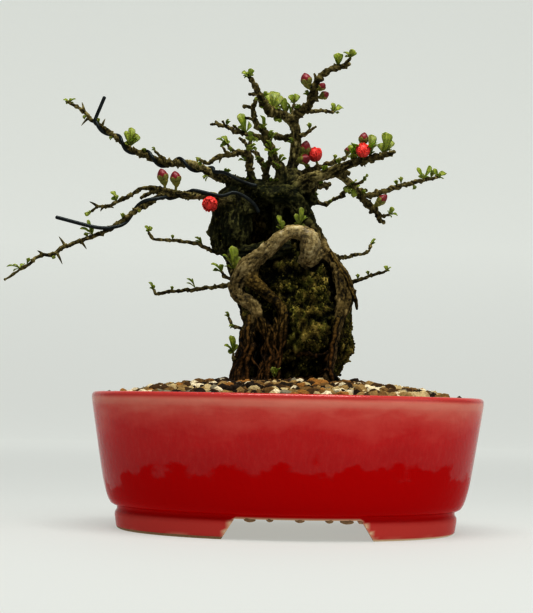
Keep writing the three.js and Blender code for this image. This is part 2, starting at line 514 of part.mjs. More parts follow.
// Half width as a share of the leaf's, against the way along it, between the stalk and the tip.
const LARGE_LEAF = [[0.62, 0.4], [1, 0.76]];
const SMALL_LEAF = [[1, 0.62]];

// A thin closed blade, folded along its rib and arched, from "base" to base + reach.
function blade(base, reach, width, outline, thick = LEAF.thick) {
  const along = reach.clone().normalize();
  const length = reach.length();
  const sky = Math.abs(along.z) > 0.85 ? new THREE.Vector3(0.3, -1, 0.2) : new THREE.Vector3(0, -0.45, 1);
  const side = new THREE.Vector3().crossVectors(along, sky).normalize();
  const face = new THREE.Vector3().crossVectors(side, along).normalize();
  const places = [];
  const put = (share, half, lift) => {
    for (const layer of [1, -1]) {
      const bend = LEAF.arch * length * Math.sin(share * Math.PI * 0.8);
      const point = base
        .clone()
        .addScaledVector(along, share * length)
        .addScaledVector(side, half)
        .addScaledVector(face, lift + bend + (layer * thick) / 2);
      places.push(point.x, point.y, point.z);
    }
  };
  put(0, 0, 0);
  for (const [share, way] of outline) {
    const half = (share * width) / 2;
    put(way, -half, half * LEAF.fold * 2);
    put(way, 0, 0);
    put(way, half, half * LEAF.fold * 2);
  }
  put(1, 0, 0);
  const faces = [];
  const rows = outline.length;
  const at = (row, column) => 2 + (row * 3 + column) * 2;
  const tip = 2 + rows * 6;
  // A triangle on the upper face and its twin below; a wall between the two faces along one edge.
  const both = (a, b, c) => faces.push(a, b, c, c + 1, b + 1, a + 1);
  const rim = (a, b) => faces.push(a + 1, a, b, a + 1, b, b + 1);
  for (const column of [0, 1]) {
    both(0, at(0, column + 1), at(0, column));
    both(at(rows - 1, column), at(rows - 1, column + 1), tip);
    for (let row = 0; row < rows - 1; row++) {
      both(at(row, column), at(row, column + 1), at(row + 1, column + 1));
      both(at(row, column), at(row + 1, column + 1), at(row + 1, column));
    }
  }
  rim(0, at(0, 0));
  rim(at(0, 2), 0);
  rim(at(rows - 1, 0), tip);
  rim(tip, at(rows - 1, 2));
  for (let row = 0; row < rows - 1; row++) {
    rim(at(row, 0), at(row + 1, 0));
    rim(at(row + 1, 2), at(row, 2));
  }
  const sheet = new THREE.BufferGeometry()
    .setAttribute("position", new THREE.BufferAttribute(new Float32Array(places), 3))
    .setIndex(faces);
  return solid(sheet);
}

// Where a tuft or bud sits beside its limb: outside the bark, on the side that its pieces lean to.
function seat(name, along, lean, clear) {
  const { point, direction, radius } = onLimb(name, along);
  if (along > 0.97) {
    return point.addScaledVector(direction, clear);
  }
  const outward = lean.clone().addScaledVector(direction, -lean.dot(direction)).normalize();
  return point.addScaledVector(outward, radius + clear);
}

function tuft([name, along, ...leaves]) {
  const lean = leaves.reduce((sum, leaf) => sum.add(vec(leaf)), new THREE.Vector3());
  const { point } = onLimb(name, along);
  const knot = seat(name, along, lean, GAP + LEAF.knot * 0.5);
  const core = new THREE.TetrahedronGeometry(LEAF.knot * 1.3, 0).translate(knot.x, knot.y, knot.z);
  const blades = leaves.map((leaf) => {
    const reach = point.clone().add(vec(leaf)).sub(knot);
    return blade(knot, reach, leaf[3], leaf[3] > LEAF.large ? LARGE_LEAF : SMALL_LEAF);
  });
  return leaves.length === 1 ? blades[0] : join([solid(core), ...blades]);
}

// Flowers

const CUP_HEIGHT = 2.2;
const STALK = 0.7;
const BUD = { lobe: 0.09, taper: 0.14, around: 8, up: 4 };

// A closed bud: an egg with the soft spiral edges of its wrapped petals.
function bud([name, along, cx, cy, cz, tx, ty, tz, radius]) {
  const { point } = onLimb(name, along);
  const calyx = point.clone().add(new THREE.Vector3(cx, cy, cz));
  const tip = point.clone().add(new THREE.Vector3(tx, ty, tz));
  const way = tip.clone().sub(calyx).normalize();
  const foot = calyx.addScaledVector(way, GAP);
  const length = foot.distanceTo(tip);
  const egg = new THREE.SphereGeometry(1, BUD.around, BUD.up);
  const places = egg.attributes.position;
  for (let i = 0; i < places.count; i++) {
    const height = places.getY(i);
    const turn = Math.atan2(places.getZ(i), places.getX(i));
    const lobe = 1 + BUD.lobe * Math.cos(4 * turn) * (1 - height * height);
    const width = radius * lobe * (1 - BUD.taper * height);
    places.setXYZ(i, places.getX(i) * width, (height * length) / 2, places.getZ(i) * width);
  }
  egg.applyQuaternion(new THREE.Quaternion().setFromUnitVectors(new THREE.Vector3(0, 1, 0), way));
  const middle = foot.add(tip).multiplyScalar(0.5);
  return solid(egg.translate(middle.x, middle.y, middle.z));
}

// The green stalk and cup under a bud, part of the twig.
function calyx([name, along, cx, cy, cz, tx, ty, tz, radius]) {
  const [base, top] = growth([name, along, cx, cy, cz]);
  const way = new THREE.Vector3(tx - cx, ty - cy, tz - cz).normalize();
  const elbow = top.clone().addScaledVector(way, -CUP_HEIGHT);
  return stem([[...base, STALK], [...elbow, STALK], [...top, radius * 0.6]], 4);
}

// The rounds of petals in a bloom: how many, their reach as a share of the bloom, how steeply they stand.
const PETAL_ROUNDS = [
  { count: 5, reach: 1, rise: 0.1, twist: 0 },
  { count: 3, reach: 0.95, rise: 1.3, twist: 0.6 },
];
const HEART = 0.6; // the heart's radius as a share of the bloom's

// An open double bloom: a small heart with two rounds of cupped petals.
function bloom([name, along, dx, dy, dz, radius]) {
  const [base, middle] = growth([name, along, dx, dy, dz]);
  const heart = new THREE.IcosahedronGeometry(radius * HEART, 0).translate(middle.x, middle.y, middle.z);
  const facing = middle.clone().sub(base).normalize();
  const turn = new THREE.Quaternion().setFromUnitVectors(new THREE.Vector3(0, 0, 1), facing);
  const petals = PETAL_ROUNDS.flatMap(({ count, reach, rise, twist }) =>
    Array.from({ length: count }, (_, i) => {
      const angle = ((i + twist) / count) * Math.PI * 2;
      const way = new THREE.Vector3(Math.cos(angle), Math.sin(angle), rise).normalize().applyQuaternion(turn);
      const root = middle.clone().addScaledVector(way, radius * HEART * 0.7);
      return blade(root, way.multiplyScalar(radius * (reach - HEART * 0.7)), radius, SMALL_LEAF, 0.8);
    }),
  );
  return join([solid(heart), ...petals]);
}

function bloomStalk([name, along, dx, dy, dz, radius]) {
  const [base, middle] = growth([name, along, dx, dy, dz]);
  const stop = base.clone().lerp(middle, 1 - (radius * HEART + GAP) / base.distanceTo(middle));
  return stem([[...base, STALK], [...stop, STALK]], 4);
}

// Rock

// Knobs on the rock, as [x, y, z of the direction, height in mm, sharpness].
const KNOBS = [
  [0.45, -0.8, 0.3, 4, 14], [0.55, -0.75, 0.0, 4.5, 18], [-0.15, -0.95, 0.1, 4, 22],
  [0.85, -0.3, -0.2, 4, 12],
  [0.2, -0.9, -0.25, 3.5, 16], [0.9, 0.4, 0.0, 3.5, 12], [0.3, 0.9, 0.2, 4, 12], [-0.5, 0.8, -0.2, 3.5, 12],
  [-0.9, 0.1, 0.3, 3, 10], [0.65, -0.55, -0.5, 3.5, 14], [-0.6, -0.5, 0.6, 3, 10], [0.1, 0.9, -0.5, 3.5, 14],
];

function rockSolid(swell = 0) {
  const ball = new THREE.IcosahedronGeometry(1, ROCK.detail);
  const places = ball.attributes.position;
  for (let i = 0; i < places.count; i++) {
    const way = new THREE.Vector3().fromBufferAttribute(places, i).normalize();
    const square = Math.pow(way.x ** 4 + way.y ** 4 + way.z ** 4, -0.25);
    const knobs = KNOBS.reduce((sum, [x, y, z, height, sharp]) => {
      const turn = way.dot(new THREE.Vector3(x, y, z).normalize());
      return sum + height * Math.exp(sharp * (turn - 1));
    }, 0);
    const rough = ROCK.roughness * Math.sin(way.x * 9 + way.z * 7) * Math.sin(way.y * 8 - way.z * 9 + 1);
    const grow = 1 + ROCK.squareness * (square - 1);
    const z = way.z * (ROCK.halfZ * grow + swell);
    const low = Math.min(0, z - ROCK_FOOT.top) / ROCK_FOOT.depth;
    const x = way.x * (ROCK.halfX * grow + knobs + rough + swell) - ROCK_FOOT.slant * low * low;
    places.setXYZ(i, ROCK.x + x, way.y * (ROCK.halfY * grow + knobs + rough + swell), ROCK.z + z);
  }
  return solid(ball);
}

// Pot

const lathe = (profile, ratio) =>
  solid(
    new THREE.LatheGeometry(profile.map(([r, z]) => new THREE.Vector2(r, z)), POT.segments)
      .rotateX(Math.PI / 2)
      .scale(1, ratio, 1),
  );

// The profile of the hollow, from the floor to above the rim, drawn in by "inset".
function hollowProfile(inset) {
  const r = POT.halfLength - POT.wall - inset;
  const low = POT.floor + inset;
  return [
    [0, low], [r - 13, low], [r - 9, low + 4], [r - 2, 56], [r, 69.5], [r + 2.2, POT.height],
    [r + 2.2, POT.height + 18], [0, POT.height + 18],
  ];
}

function potSolid() {
  const { halfLength: a, underside, height, groove, grooveHeight, footWidth } = POT;
  const foot = a - 14.7;
  const outside = [
    [0, underside], [foot - footWidth, underside], [foot - footWidth, 0], [foot - 1, 0], [foot, 1.1],
    [foot + 1, underside - 2.2], [foot + 0.6, underside - 0.6], [foot - groove, underside],
    [foot - groove, underside + grooveHeight - 0.4], [foot + 2.4, underside + grooveHeight + 0.4],
    [a - 10.2, 15.6], [a - 7, 27], [a - 2.4, 54], [a - 0.2, 67], [a - 0.1, 70],
    [a - 1.3, 71.6], [a - 3.2, height], [0, height],
  ];
  const ratio = POT.halfDepth / a;
  const inner = POT.halfLength - POT.wall;
  const hollow = lathe(hollowProfile(0), (POT.halfDepth - POT.wall) / inner);
  const opening = new THREE.Shape([
    new THREE.Vector2(-POT.gapFoot, -1),
    new THREE.Vector2(POT.gapFoot, -1),
    new THREE.Vector2(POT.gapTop, underside + POT.relief),
    new THREE.Vector2(-POT.gapTop, underside + POT.relief),
  ]);
  const between = new THREE.ExtrudeGeometry(opening, { depth: 2 * POT.halfDepth, bevelEnabled: false });
  between.translate(POT.gapShift, 0, -POT.halfDepth).rotateX(Math.PI / 2);
  const drains = [-1, 1].map((sign) => {
    const hole = new THREE.CylinderGeometry(DRAIN.radius, DRAIN.radius, DRAIN.length, DRAIN.sides);
    return solid(hole.rotateX(Math.PI / 2).translate(sign * DRAIN.x, 0, DRAIN.z));
  });
  return lathe(outside, ratio).subtract(join([hollow, solid(between), ...drains]));
}

// A plastic mesh over a drain hole, of crossed bars.
function screenSolid(x) {
  const bar = SCREEN.side / (2 * SCREEN.holes + 1);
  const height = POT.floor + GAP + SCREEN.thick / 2;
  const bars = [];
  for (let i = 0; i <= SCREEN.holes; i++) {
    const offset = (2 * i + 0.5) * bar - SCREEN.side / 2;
    bars.push(solid(new THREE.BoxGeometry(bar, SCREEN.side, SCREEN.thick).translate(x + offset, 0, height)));
    bars.push(solid(new THREE.BoxGeometry(SCREEN.side, bar, SCREEN.thick).translate(x, offset, height)));
  }
  return join(bars);
}

// Soil

function soilHeight(x, y) {
  const out = Math.min(1, Math.hypot(x / (POT.halfLength - POT.wall), y / (POT.halfDepth - POT.wall)));
  return SOIL.edge + SOIL.rise * (1 - out ** SOIL.dome);
}

// Which draws shift a stone across and along, and lift its crown or sink the dips round it.
const STONE_DRAWS = { across: 0, along: 5000, dip: 7000, crown: 9000 };

// A block whose top is a lattice of stones: every third lattice point is a stone's crown, the rest are dips.
function gravelBlock() {
  const pitch = SOIL.grain / Math.sqrt(3);
  const row = pitch * (Math.sqrt(3) / 2);
  const columns = Math.ceil((2 * POT.halfLength) / pitch) + 2;
  const rows = Math.ceil((2 * POT.halfDepth) / row) + 2;
  const count = (columns + 1) * (rows + 1);
  const places = new Float32Array(count * 6);
  for (let j = 0; j <= rows; j++) {
    for (let i = 0; i <= columns; i++) {
      const index = j * (columns + 1) + i;
      const stagger = j / 2 - Math.floor(j / 2);
      const across = (draw(index + STONE_DRAWS.across) - 0.5) * SOIL.jitter;
      const along = (draw(index + STONE_DRAWS.along) - 0.5) * SOIL.jitter;
      const x = (i - columns / 2 + stagger) * pitch + across;
      const y = (j - rows / 2) * row + along;
      const crown = SOIL.relief * (0.4 + draw(index + STONE_DRAWS.crown));
      const dip = -SOIL.relief * 0.5 * draw(index + STONE_DRAWS.dip);
      const lift = (i + j + Math.floor(j / 2)) % 3 === 0 ? crown : dip;
      places.set([x, y, soilHeight(x, y) + lift], index * 3);
      places.set([x, y, POT.underside], (count + index) * 3);
    }
  }
  const faces = [];
  for (let j = 0; j < rows; j++) {
    for (let i = 0; i < columns; i++) {
      const a = j * (columns + 1) + i;
      const [b, c, d] = [a + 1, a + columns + 1, a + columns + 2];
      const split = j % 2 === 0 ? [a, b, c, b, d, c] : [a, b, d, a, d, c];
      faces.push(...split, ...split.map((index) => index + count).reverse());
    }
  }
  const wallBetween = (a, b) => faces.push(b, a, a + count, b, a + count, b + count);
  for (let i = 0; i < columns; i++) {
    wallBetween(i, i + 1);
    wallBetween(rows * (columns + 1) + i + 1, rows * (columns + 1) + i);
  }
  for (let j = 0; j < rows; j++) {
    wallBetween((j + 1) * (columns + 1), j * (columns + 1));
    wallBetween(j * (columns + 1) + columns, (j + 1) * (columns + 1) + columns);
  }
  return solid(
    new THREE.BufferGeometry().setAttribute("position", new THREE.BufferAttribute(places, 3)).setIndex(faces),
  );
}

function soilSolid(rockSeat, woodSeat) {
  const inner = POT.halfLength - POT.wall - GAP;
  const bowl = lathe(hollowProfile(GAP), (POT.halfDepth - POT.wall - GAP) / inner);
  const pockets = [-1, 1].map((sign) => {
    const side = SCREEN.side + 2 * GAP;
    const pocket = new THREE.BoxGeometry(side, side, 2 * SCREEN.thick);
    return solid(pocket.translate(sign * DRAIN.x, 0, POT.floor + SCREEN.thick));
  });
  return largest(gravelBlock().intersect(bowl).subtract(join([...pockets, rockSeat, woodSeat])));
}

// Training wire

const TURN_POINTS = 8;

// A wire wound round a limb, with a straight free end and a tail that lies against the trunk.
function wireSolid({ limb: name, from, to, turns, start, free, tail }) {
  const points = free.map(vec);
  const count = Math.round(turns * TURN_POINTS);
  for (let i = 0; i <= count; i++) {
    const { point, direction, radius } = onLimb(name, THREE.MathUtils.lerp(from, to, i / count));
    const up = new THREE.Vector3(0, 0, 1).addScaledVector(direction, -direction.z).normalize();
    const back = new THREE.Vector3().crossVectors(direction, up);
    const angle = start - (i / TURN_POINTS) * Math.PI * 2;
    const out = radius * 1.15 + GAP + WIRE.radius;
    point.addScaledVector(up, Math.cos(angle) * out).addScaledVector(back, Math.sin(angle) * out);
    points.push(point);
  }
  points.push(...tail.map(vec));
  const path = new THREE.CatmullRomCurve3(points, false, "centripetal");
  const section = new THREE.Shape();
  for (let i = 0; i < WIRE.sides; i++) {
    const angle = (i / WIRE.sides) * Math.PI * 2;
    const put = i === 0 ? "moveTo" : "lineTo";
    section[put](Math.cos(angle) * WIRE.radius, Math.sin(angle) * WIRE.radius);
  }
  const steps = Math.round(path.getLength() / WIRE.step);
  return solid(new THREE.ExtrudeGeometry(section, { steps, extrudePath: path }));
}

// Assembly

const limbs = (swell) => join(Object.keys(ALL_LIMBS).map((name) => limb(name, swell)));

const thorns = THORNS.map((thorn) => spike(...growth(thorn), 0.8, 3));
const leafBuds = LEAF_BUDS.map((leafBud) => spike(...growth(leafBud), leafBud[5] / 2, 4));
const stalks = [...Object.values(BUDS).map(calyx), ...Object.values(BLOOMS).map(bloomStalk)];
const wood = join([limbs(0), ...thorns, ...leafBuds, ...stalks]);
const woodSeat = limbs(GAP);
const rock = largest(rockSolid().subtract(woodSeat));
const soil = soilSolid(rockSolid(GAP), woodSeat);

const bonsai = new THREE.Group();

function place(name, shape, [colour, roughness], metalness = 0) {
  const geometry = shape.isBufferGeometry ? shape : geometryOf(shape);
  const material = new THREE.MeshStandardMaterial({ color: colour, roughness, metalness, flatShading: true });
  const mesh = new THREE.Mesh(geometry, material);
  mesh.name = name;
  bonsai.add(mesh);
}

place("pot", potSolid(), COLOURS.pot);
place("drain_screen_left", screenSolid(-DRAIN.x), COLOURS.screen);
place("drain_screen_right", screenSolid(DRAIN.x), COLOURS.screen);
place("soil", soil, COLOURS.soil);
place("rock", rock, COLOURS.rock);
place("tree_wood", wood, COLOURS.wood);
for (const [name, spec] of Object.entries(WIRES)) {
  place(name, wireSolid(spec), COLOURS.wire, 0.6);
}
for (const [name, spec] of Object.entries(TUFTS)) {
  place(name, largest(tuft(spec).subtract(woodSeat)), COLOURS.leaf);
}
for (const [name, spec] of Object.entries(BUDS)) {
  place(name, bud(spec), COLOURS.bud);
}
for (const [name, spec] of Object.entries(BLOOMS)) {
  place(name, bloom(spec), COLOURS.bloom);
}

// The origin is the middle of the part's box, on the surface that it stands on.
const box = new THREE.Box3().setFromObject(bonsai);
const middle = box.getCenter(new THREE.Vector3());
bonsai.position.set(-middle.x, -middle.y, -box.min.z);

export default bonsai;
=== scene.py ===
# %% [markdown]
# # A flowering quince bonsai over a rock, in a red glazed pot
# This lesson dresses a finished construction model. The model gives the size and place of every part.
# Here each part gets its fine shape and its finish. Sizes are typed in millimetres and turned into metres
# in one place, so that they can be compared with a ruler.

# %% The frame that everything is measured from
import math

import bmesh
import bpy
import numpy as np
from mathutils import Matrix, Vector, noise
from mathutils.bvhtree import BVHTree


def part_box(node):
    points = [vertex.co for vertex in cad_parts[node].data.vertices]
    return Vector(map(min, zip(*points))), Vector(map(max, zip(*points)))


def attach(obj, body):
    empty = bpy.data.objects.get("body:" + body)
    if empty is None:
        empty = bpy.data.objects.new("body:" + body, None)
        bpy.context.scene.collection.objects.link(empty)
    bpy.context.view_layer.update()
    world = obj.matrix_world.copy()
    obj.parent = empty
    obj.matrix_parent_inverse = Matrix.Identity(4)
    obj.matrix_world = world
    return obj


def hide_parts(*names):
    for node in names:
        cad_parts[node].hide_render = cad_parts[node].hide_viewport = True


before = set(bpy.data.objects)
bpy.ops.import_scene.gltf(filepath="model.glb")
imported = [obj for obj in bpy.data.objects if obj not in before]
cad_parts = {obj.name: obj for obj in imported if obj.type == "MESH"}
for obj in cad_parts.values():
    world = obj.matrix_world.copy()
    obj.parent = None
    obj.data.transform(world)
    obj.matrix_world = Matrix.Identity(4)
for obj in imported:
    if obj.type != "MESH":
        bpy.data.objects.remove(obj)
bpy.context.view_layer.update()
MM = 0.001
pot_low, pot_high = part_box("pot")
HOME = np.array([(pot_low.x + pot_high.x) / 2, (pot_low.y + pot_high.y) / 2, 0.0])


def in_scene(name, data):
    """A new object for a mesh, a light or a camera, linked to the scene."""
    made = bpy.data.objects.new(name, data)
    bpy.context.scene.collection.objects.link(made)
    return made


print("nodes:", len(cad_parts), "middle of the pot:", HOME.round(4))

# %% [markdown]
# ## The camera
# The view is almost level with the pot, and the camera leans slightly. A long lens keeps the oval pot from
# bulging. The distance and the lens follow from the pot's length and from how round its rim looks.

# %% Camera
FOCAL_PIXELS = 1496.3
PHOTO_HEIGHT = 613
SENSOR = 36.0
CAMERA_AT = np.array([-12.4, -806.7, 64.3])
PITCH = 0.0685
ROLL = 0.0201
camera_data = bpy.data.cameras.new("camera")
camera_data.sensor_fit = "VERTICAL"
camera_data.sensor_height = SENSOR
camera_data.lens = FOCAL_PIXELS * SENSOR / PHOTO_HEIGHT
camera_data.clip_start = 0.01
camera = in_scene("camera", camera_data)
camera.location = CAMERA_AT * MM + HOME
level = Matrix.Rotation(math.pi / 2 + PITCH, 4, "X")
camera.rotation_euler = (level @ Matrix.Rotation(ROLL, 4, "Z")).to_euler("XYZ")
bpy.context.scene.camera = camera
print("lens:", round(camera_data.lens, 2), "mm")

# %% [markdown]
# ## From points to a part
# Most parts are worked out as points and faces in numpy, because whole rings of points are then moved at
# once. These functions turn them into an object that sits at the origin, with its place in its mesh, and let
# a finished object stand for its nodes of the construction model.

# %% Objects and their points
def piece(name, points, faces, *materials):
    """A smooth-shaded object from points in millimetres, measured from the middle of the pot's foot."""
    mesh = bpy.data.meshes.new(name)
    mesh.from_pydata((np.asarray(points) * MM + HOME).tolist(), [], [list(face) for face in faces])
    mesh.shade_smooth()
    for material in materials:
        mesh.materials.append(material)
    return in_scene(name, mesh)


def plain(made):
    """Turns the modifiers of an object into a plain mesh."""
    graph = bpy.context.evaluated_depsgraph_get()
    made.data = bpy.data.meshes.new_from_object(made.evaluated_get(graph))
    made.modifiers.clear()


def settle(made, slot, *nodes):
    """Lets a finished piece stand for its nodes of the construction model."""
    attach(made, "root")
    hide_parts(*nodes)
    print(made.name, len(made.data.polygons), "faces")
    return made


def weave(parts):
    """Several (points, faces) as one."""
    faces, start = [], 0
    for some, around in parts:
        faces.extend([[index + start for index in face] for face in around])
        start += len(some)
    return np.vstack([some for some, _ in parts]), faces


def vectors(things, key):
    """One vector for each point of a mesh, as rows."""
    flat = np.empty(len(things) * 3)
    things.foreach_get(key, flat)
    return flat.reshape(-1, 3)


def mesh_points(mesh):
    """A mesh's points in millimetres from the middle of the pot's foot."""
    return (vectors(mesh.vertices, "co") - HOME) / MM


def mesh_normals(mesh):
    """The way that a mesh's skin faces at each point."""
    return vectors(mesh.vertex_normals, "vector")


def set_attributes(mesh, **values):
    """Numbers on the points of a mesh, which the finishes read by name."""
    for name, numbers in values.items():
        layer = mesh.attributes.new(name, "FLOAT", "POINT")
        layer.data.foreach_set("value", np.asarray(numbers, dtype=np.float32))


# %% [markdown]
# ## Paths, tubes and roughness
# Bark, wire and stems are all tubes round a smooth path, so one function makes them. Soft noise makes every
# surface uneven, and its size in millimetres says whether it reads as lumps, fibres or grain.

# %% Smooth paths and tubes
DOME = 0.6


def unit(vector):
    vector = np.asarray(vector, float)
    return vector / np.linalg.norm(vector)


def smooth_path(stations, step):
    """Points about `step` apart on a curve through the stations. Every column is smoothed, radii too."""
    table = np.array(stations, float)
    ends = np.vstack([2 * table[0] - table[1], table, 2 * table[-1] - table[-2]])
    rows = []
    for a, b, c, d in zip(ends, ends[1:], ends[2:], ends[3:]):
        count = max(2, round(np.linalg.norm((c - b)[:3]) / step))
        for t in np.arange(count) / count:
            bend = (2 * a - 5 * b + 4 * c - d) * t**2 + (3 * b - a - 3 * c + d) * t**3
            rows.append(0.5 * (2 * b + (c - a) * t + bend))
    return np.array(rows + [ends[-2]])


def ring_frames(path):
    """The way along a path and two directions across it at each point, turned as little as possible."""
    tangents = np.gradient(path, axis=0)
    tangents /= np.linalg.norm(tangents, axis=1)[:, None]
    normal = np.array([0.3, 0.2, 1.0])
    normals = []
    for tangent in tangents:
        normal = normal - normal.dot(tangent) * tangent
        normal = normal / np.linalg.norm(normal)
        normals.append(normal)
    normals = np.array(normals)
    return tangents, normals, np.cross(tangents, normals)


def rings_to_faces(rings, sides):
    """Faces between rings of points, and the fans that close both ends on the last two points."""
    last, first_pole = rings - 1, rings * sides
    faces = []
    for j in range(sides):
        k = (j + 1) % sides
        faces += [(first_pole, k, j), (first_pole + 1, last * sides + j, last * sides + k)]
        faces += [(i * sides + j, i * sides + k, (i + 1) * sides + k, (i + 1) * sides + j) for i in range(last)]
    return faces


def tube(path, radii, sides):
    """A tube round a path, closed by a low dome at each end."""
    radii = np.broadcast_to(radii, len(path))
    tangents, normals, binormals = ring_frames(path)
    angles = np.arange(sides) / sides * 2 * math.pi
    cosines, sines = np.cos(angles)[None, :, None], np.sin(angles)[None, :, None]
    across = cosines * normals[:, None] + sines * binormals[:, None]
    rings = path[:, None] + across * radii[:, None, None]
    poles = [path[0] - tangents[0] * radii[0] * DOME, path[-1] + tangents[-1] * radii[-1] * DOME]
    return np.vstack([rings.reshape(-1, 3), poles]), rings_to_faces(len(path), sides)


def rough(point, size, octaves=3):
    """Soft noise of about -1 to 1 whose lumps are `size` millimetres wide."""
    return noise.fractal(Vector(point) / size, 1.0, 2.0, octaves)


def roughness_of(points, size, octaves=3):
    return np.array([rough(point, size, octaves) for point in points])


sample = tube(np.array([[0.0, 0, 0], [0, 0, 10], [0, 2, 20]]), 2, 12)
print("a tube of three rings has", len(sample[0]), "points and", len(sample[1]), "faces")

# %% [markdown]
# ## Finishes
# Every finish is a small node tree. Noise in Object coordinates gives it variation at the right scale, and
# a Bump node gives it a skin. Where a finish follows the shape, such as glaze that runs off an edge, the
# mesh carries an attribute that the tree reads.

# %% A short way to write node trees
def node(tree, kind, inputs=None, **settings):
    """Adds a node. An input that is a socket becomes a link, and any other is a fixed value."""
    made = tree.nodes.new(kind)
    for key, value in settings.items():
        setattr(made, key, value)
    for socket, value in (inputs or {}).items():
        if isinstance(value, bpy.types.NodeSocket):
            tree.links.new(value, made.inputs[socket])
        else:
            made.inputs[socket].default_value = value
    return made


def finish(name, **shader):
    """A new material, its tree and its shader, with the shader's fixed values set by name."""
    made = bpy.data.materials.new(name)
    made.use_nodes = True
    surface = made.node_tree.nodes["Principled BSDF"]
    for socket, value in shader.items():
        surface.inputs[socket.replace("_", " ")].default_value = value
    return made, made.node_tree, surface


def coat(tree, surface, **sockets):
    """Links colours, values and bumps to the shader's sockets."""
    for socket, value in sockets.items():
        tree.links.new(value, surface.inputs[socket.replace("_", " ")])


def maths(tree, operation, *values):
    return node(tree, "ShaderNodeMath", dict(enumerate(values)), operation=operation).outputs[0]


def parted(tree, vector):
    """The X, Y and Z of a vector."""
    return node(tree, "ShaderNodeSeparateXYZ", {"Vector": vector}).outputs


def object_place(tree):
    return node(tree, "ShaderNodeTexCoord").outputs["Object"]


def object_noise(tree, size, detail=4.0, roughness=0.6, stretch=(1, 1, 1)):
    """A noise factor whose lumps are `size` millimetres wide, on Object coordinates."""
    scaled = node(tree, "ShaderNodeMapping", {"Vector": object_place(tree), "Scale": stretch}).outputs["Vector"]
    values = {"Vector": scaled, "Scale": 1 / (size * MM), "Detail": detail, "Roughness": roughness}
    return node(tree, "ShaderNodeTexNoise", values).outputs["Fac"]


def ramp(tree, factor, *stops, interpolation="LINEAR"):
    """Colours by a factor, as (place, (r, g, b)) in linear light."""
    made = node(tree, "ShaderNodeValToRGB", {"Fac": factor})
    made.color_ramp.interpolation = interpolation
    while len(made.color_ramp.elements) < len(stops):
        made.color_ramp.elements.new(0.5)
    for element, (place, colour) in zip(made.color_ramp.elements, stops):
        element.position = place
        element.color = (*colour, 1)
    return made.outputs["Color"]


def mix(tree, factor, a, b, blend="MIX"):
    """Two colours mixed by a factor. The node has its colours in sockets 6 and 7 and in output 2."""
    a, b = [(*colour, 1) if isinstance(colour, tuple) else colour for colour in (a, b)]
    values = {"Factor": factor, 6: a, 7: b}
    return node(tree, "ShaderNodeMix", values, data_type="RGBA", blend_type=blend).outputs[2]


def attribute(tree, name):
    return node(tree, "ShaderNodeAttribute", attribute_name=name).outputs["Fac"]


def range_of(tree, value, low, high, new_low=0.0, new_high=1.0):
    values = {"Value": value, "From Min": low, "From Max": high, "To Min": new_low, "To Max": new_high}
    return node(tree, "ShaderNodeMapRange", values, interpolation_type="SMOOTHSTEP").outputs["Result"]


def bump(tree, height, distance, strength=1.0, under=None):
    values = {"Height": height, "Distance": distance * MM, "Strength": strength}
    if under:
        values["Normal"] = under
    return node(tree, "ShaderNodeBump", values).outputs["Normal"]


# %% [markdown]
# ## Glaze
# The pot's glaze is a deep, glossy red, bare tan on the sharp edges where it ran off in the kiln. It turns
# pinkish red towards the rim, partly as thinner glaze and partly as a painted reflection of a pale floor. A
# darker red band low on the wall, with an uneven edge and less shine, is a painted dark reflection. Fine
# orange peel and a few pinholes break up the reflections.

# %% Glaze
BARE, RIM_HIGHLIGHT, RING_HIGHLIGHT, LIP = (0.78, 0.62, 0.42), (0.74, 0.32, 0.24), (0.6, 0.085, 0.07), (0.5, 0.07, 0.06)
DARK_REFLECTION_RED, PALE_RED = (0.52, 0.0006, 0.0012), (0.68, 0.13, 0.1)
RED_GLAZE, tree, surface = finish("red_glaze", Roughness=0.1)
above = parted(tree, object_place(tree))["Z"]
# Painted reflection, partly thinner glaze: the red grows paler and pinker with height.
glaze_and_reflection_height = maths(tree, "MULTIPLY_ADD", object_noise(tree, 26, 3, 0.55, (1, 1, 2.2)), 0.024, above)
colour = ramp(
    tree, range_of(tree, glaze_and_reflection_height, 0.04, 0.086), (0.0, (0.48, 0.004, 0.006)), (0.5, (0.56, 0.012, 0.013)),
    (0.8, (0.63, 0.08, 0.062)), (1.0, (0.7, 0.21, 0.155)),
)
mottle = object_noise(tree, 2.4, 5, 0.7, (1, 1, 0.45))
colour = mix(tree, range_of(tree, mottle, 0.4, 0.8, 0.0, 0.16), colour, PALE_RED)
# Painted reflection: the dark red band low on the wall, dropped lower at the pot's two ends.
reflection_band_height = maths(tree, "ADD", above, attribute(tree, "band_drop"))
reflection_band_edge = maths(tree, "MULTIPLY_ADD", object_noise(tree, 15, 5, 0.55, (1, 1, 1.4)), 0.04, reflection_band_height)
reflection_band = range_of(tree, reflection_band_edge, 0.052, 0.0585, 1.0, 0.0)
colour = mix(tree, reflection_band, colour, DARK_REFLECTION_RED)
# The foot ring and the pale line under the rim are painted highlights. The lip and the bare edges are the
# glaze's own.
for name, tint in (("ring", RING_HIGHLIGHT), ("thin_edge", RIM_HIGHLIGHT), ("bare_edge", BARE), ("lip", LIP)):
    colour = mix(tree, attribute(tree, name), colour, tint)
peel = bump(tree, object_noise(tree, 2.2, 3, 0.6, (1, 1, 0.6)), 0.26, 0.8)
pits = range_of(tree, object_noise(tree, 1.1, 1, 0.4), 0.68, 0.76, 1.0, 0.0)
coat(tree, surface, Specular_IOR_Level=range_of(tree, reflection_band, 0.0, 1.0, 0.36, 0.04), Base_Color=colour,
     Normal=bump(tree, pits, 0.06, 0.5, peel))
print(RED_GLAZE.name, len(tree.nodes), "nodes")


# %% [markdown]
# Five of the finishes are one noise that gives the colour, and for three of them the skin too, from bare clay to
# wire.

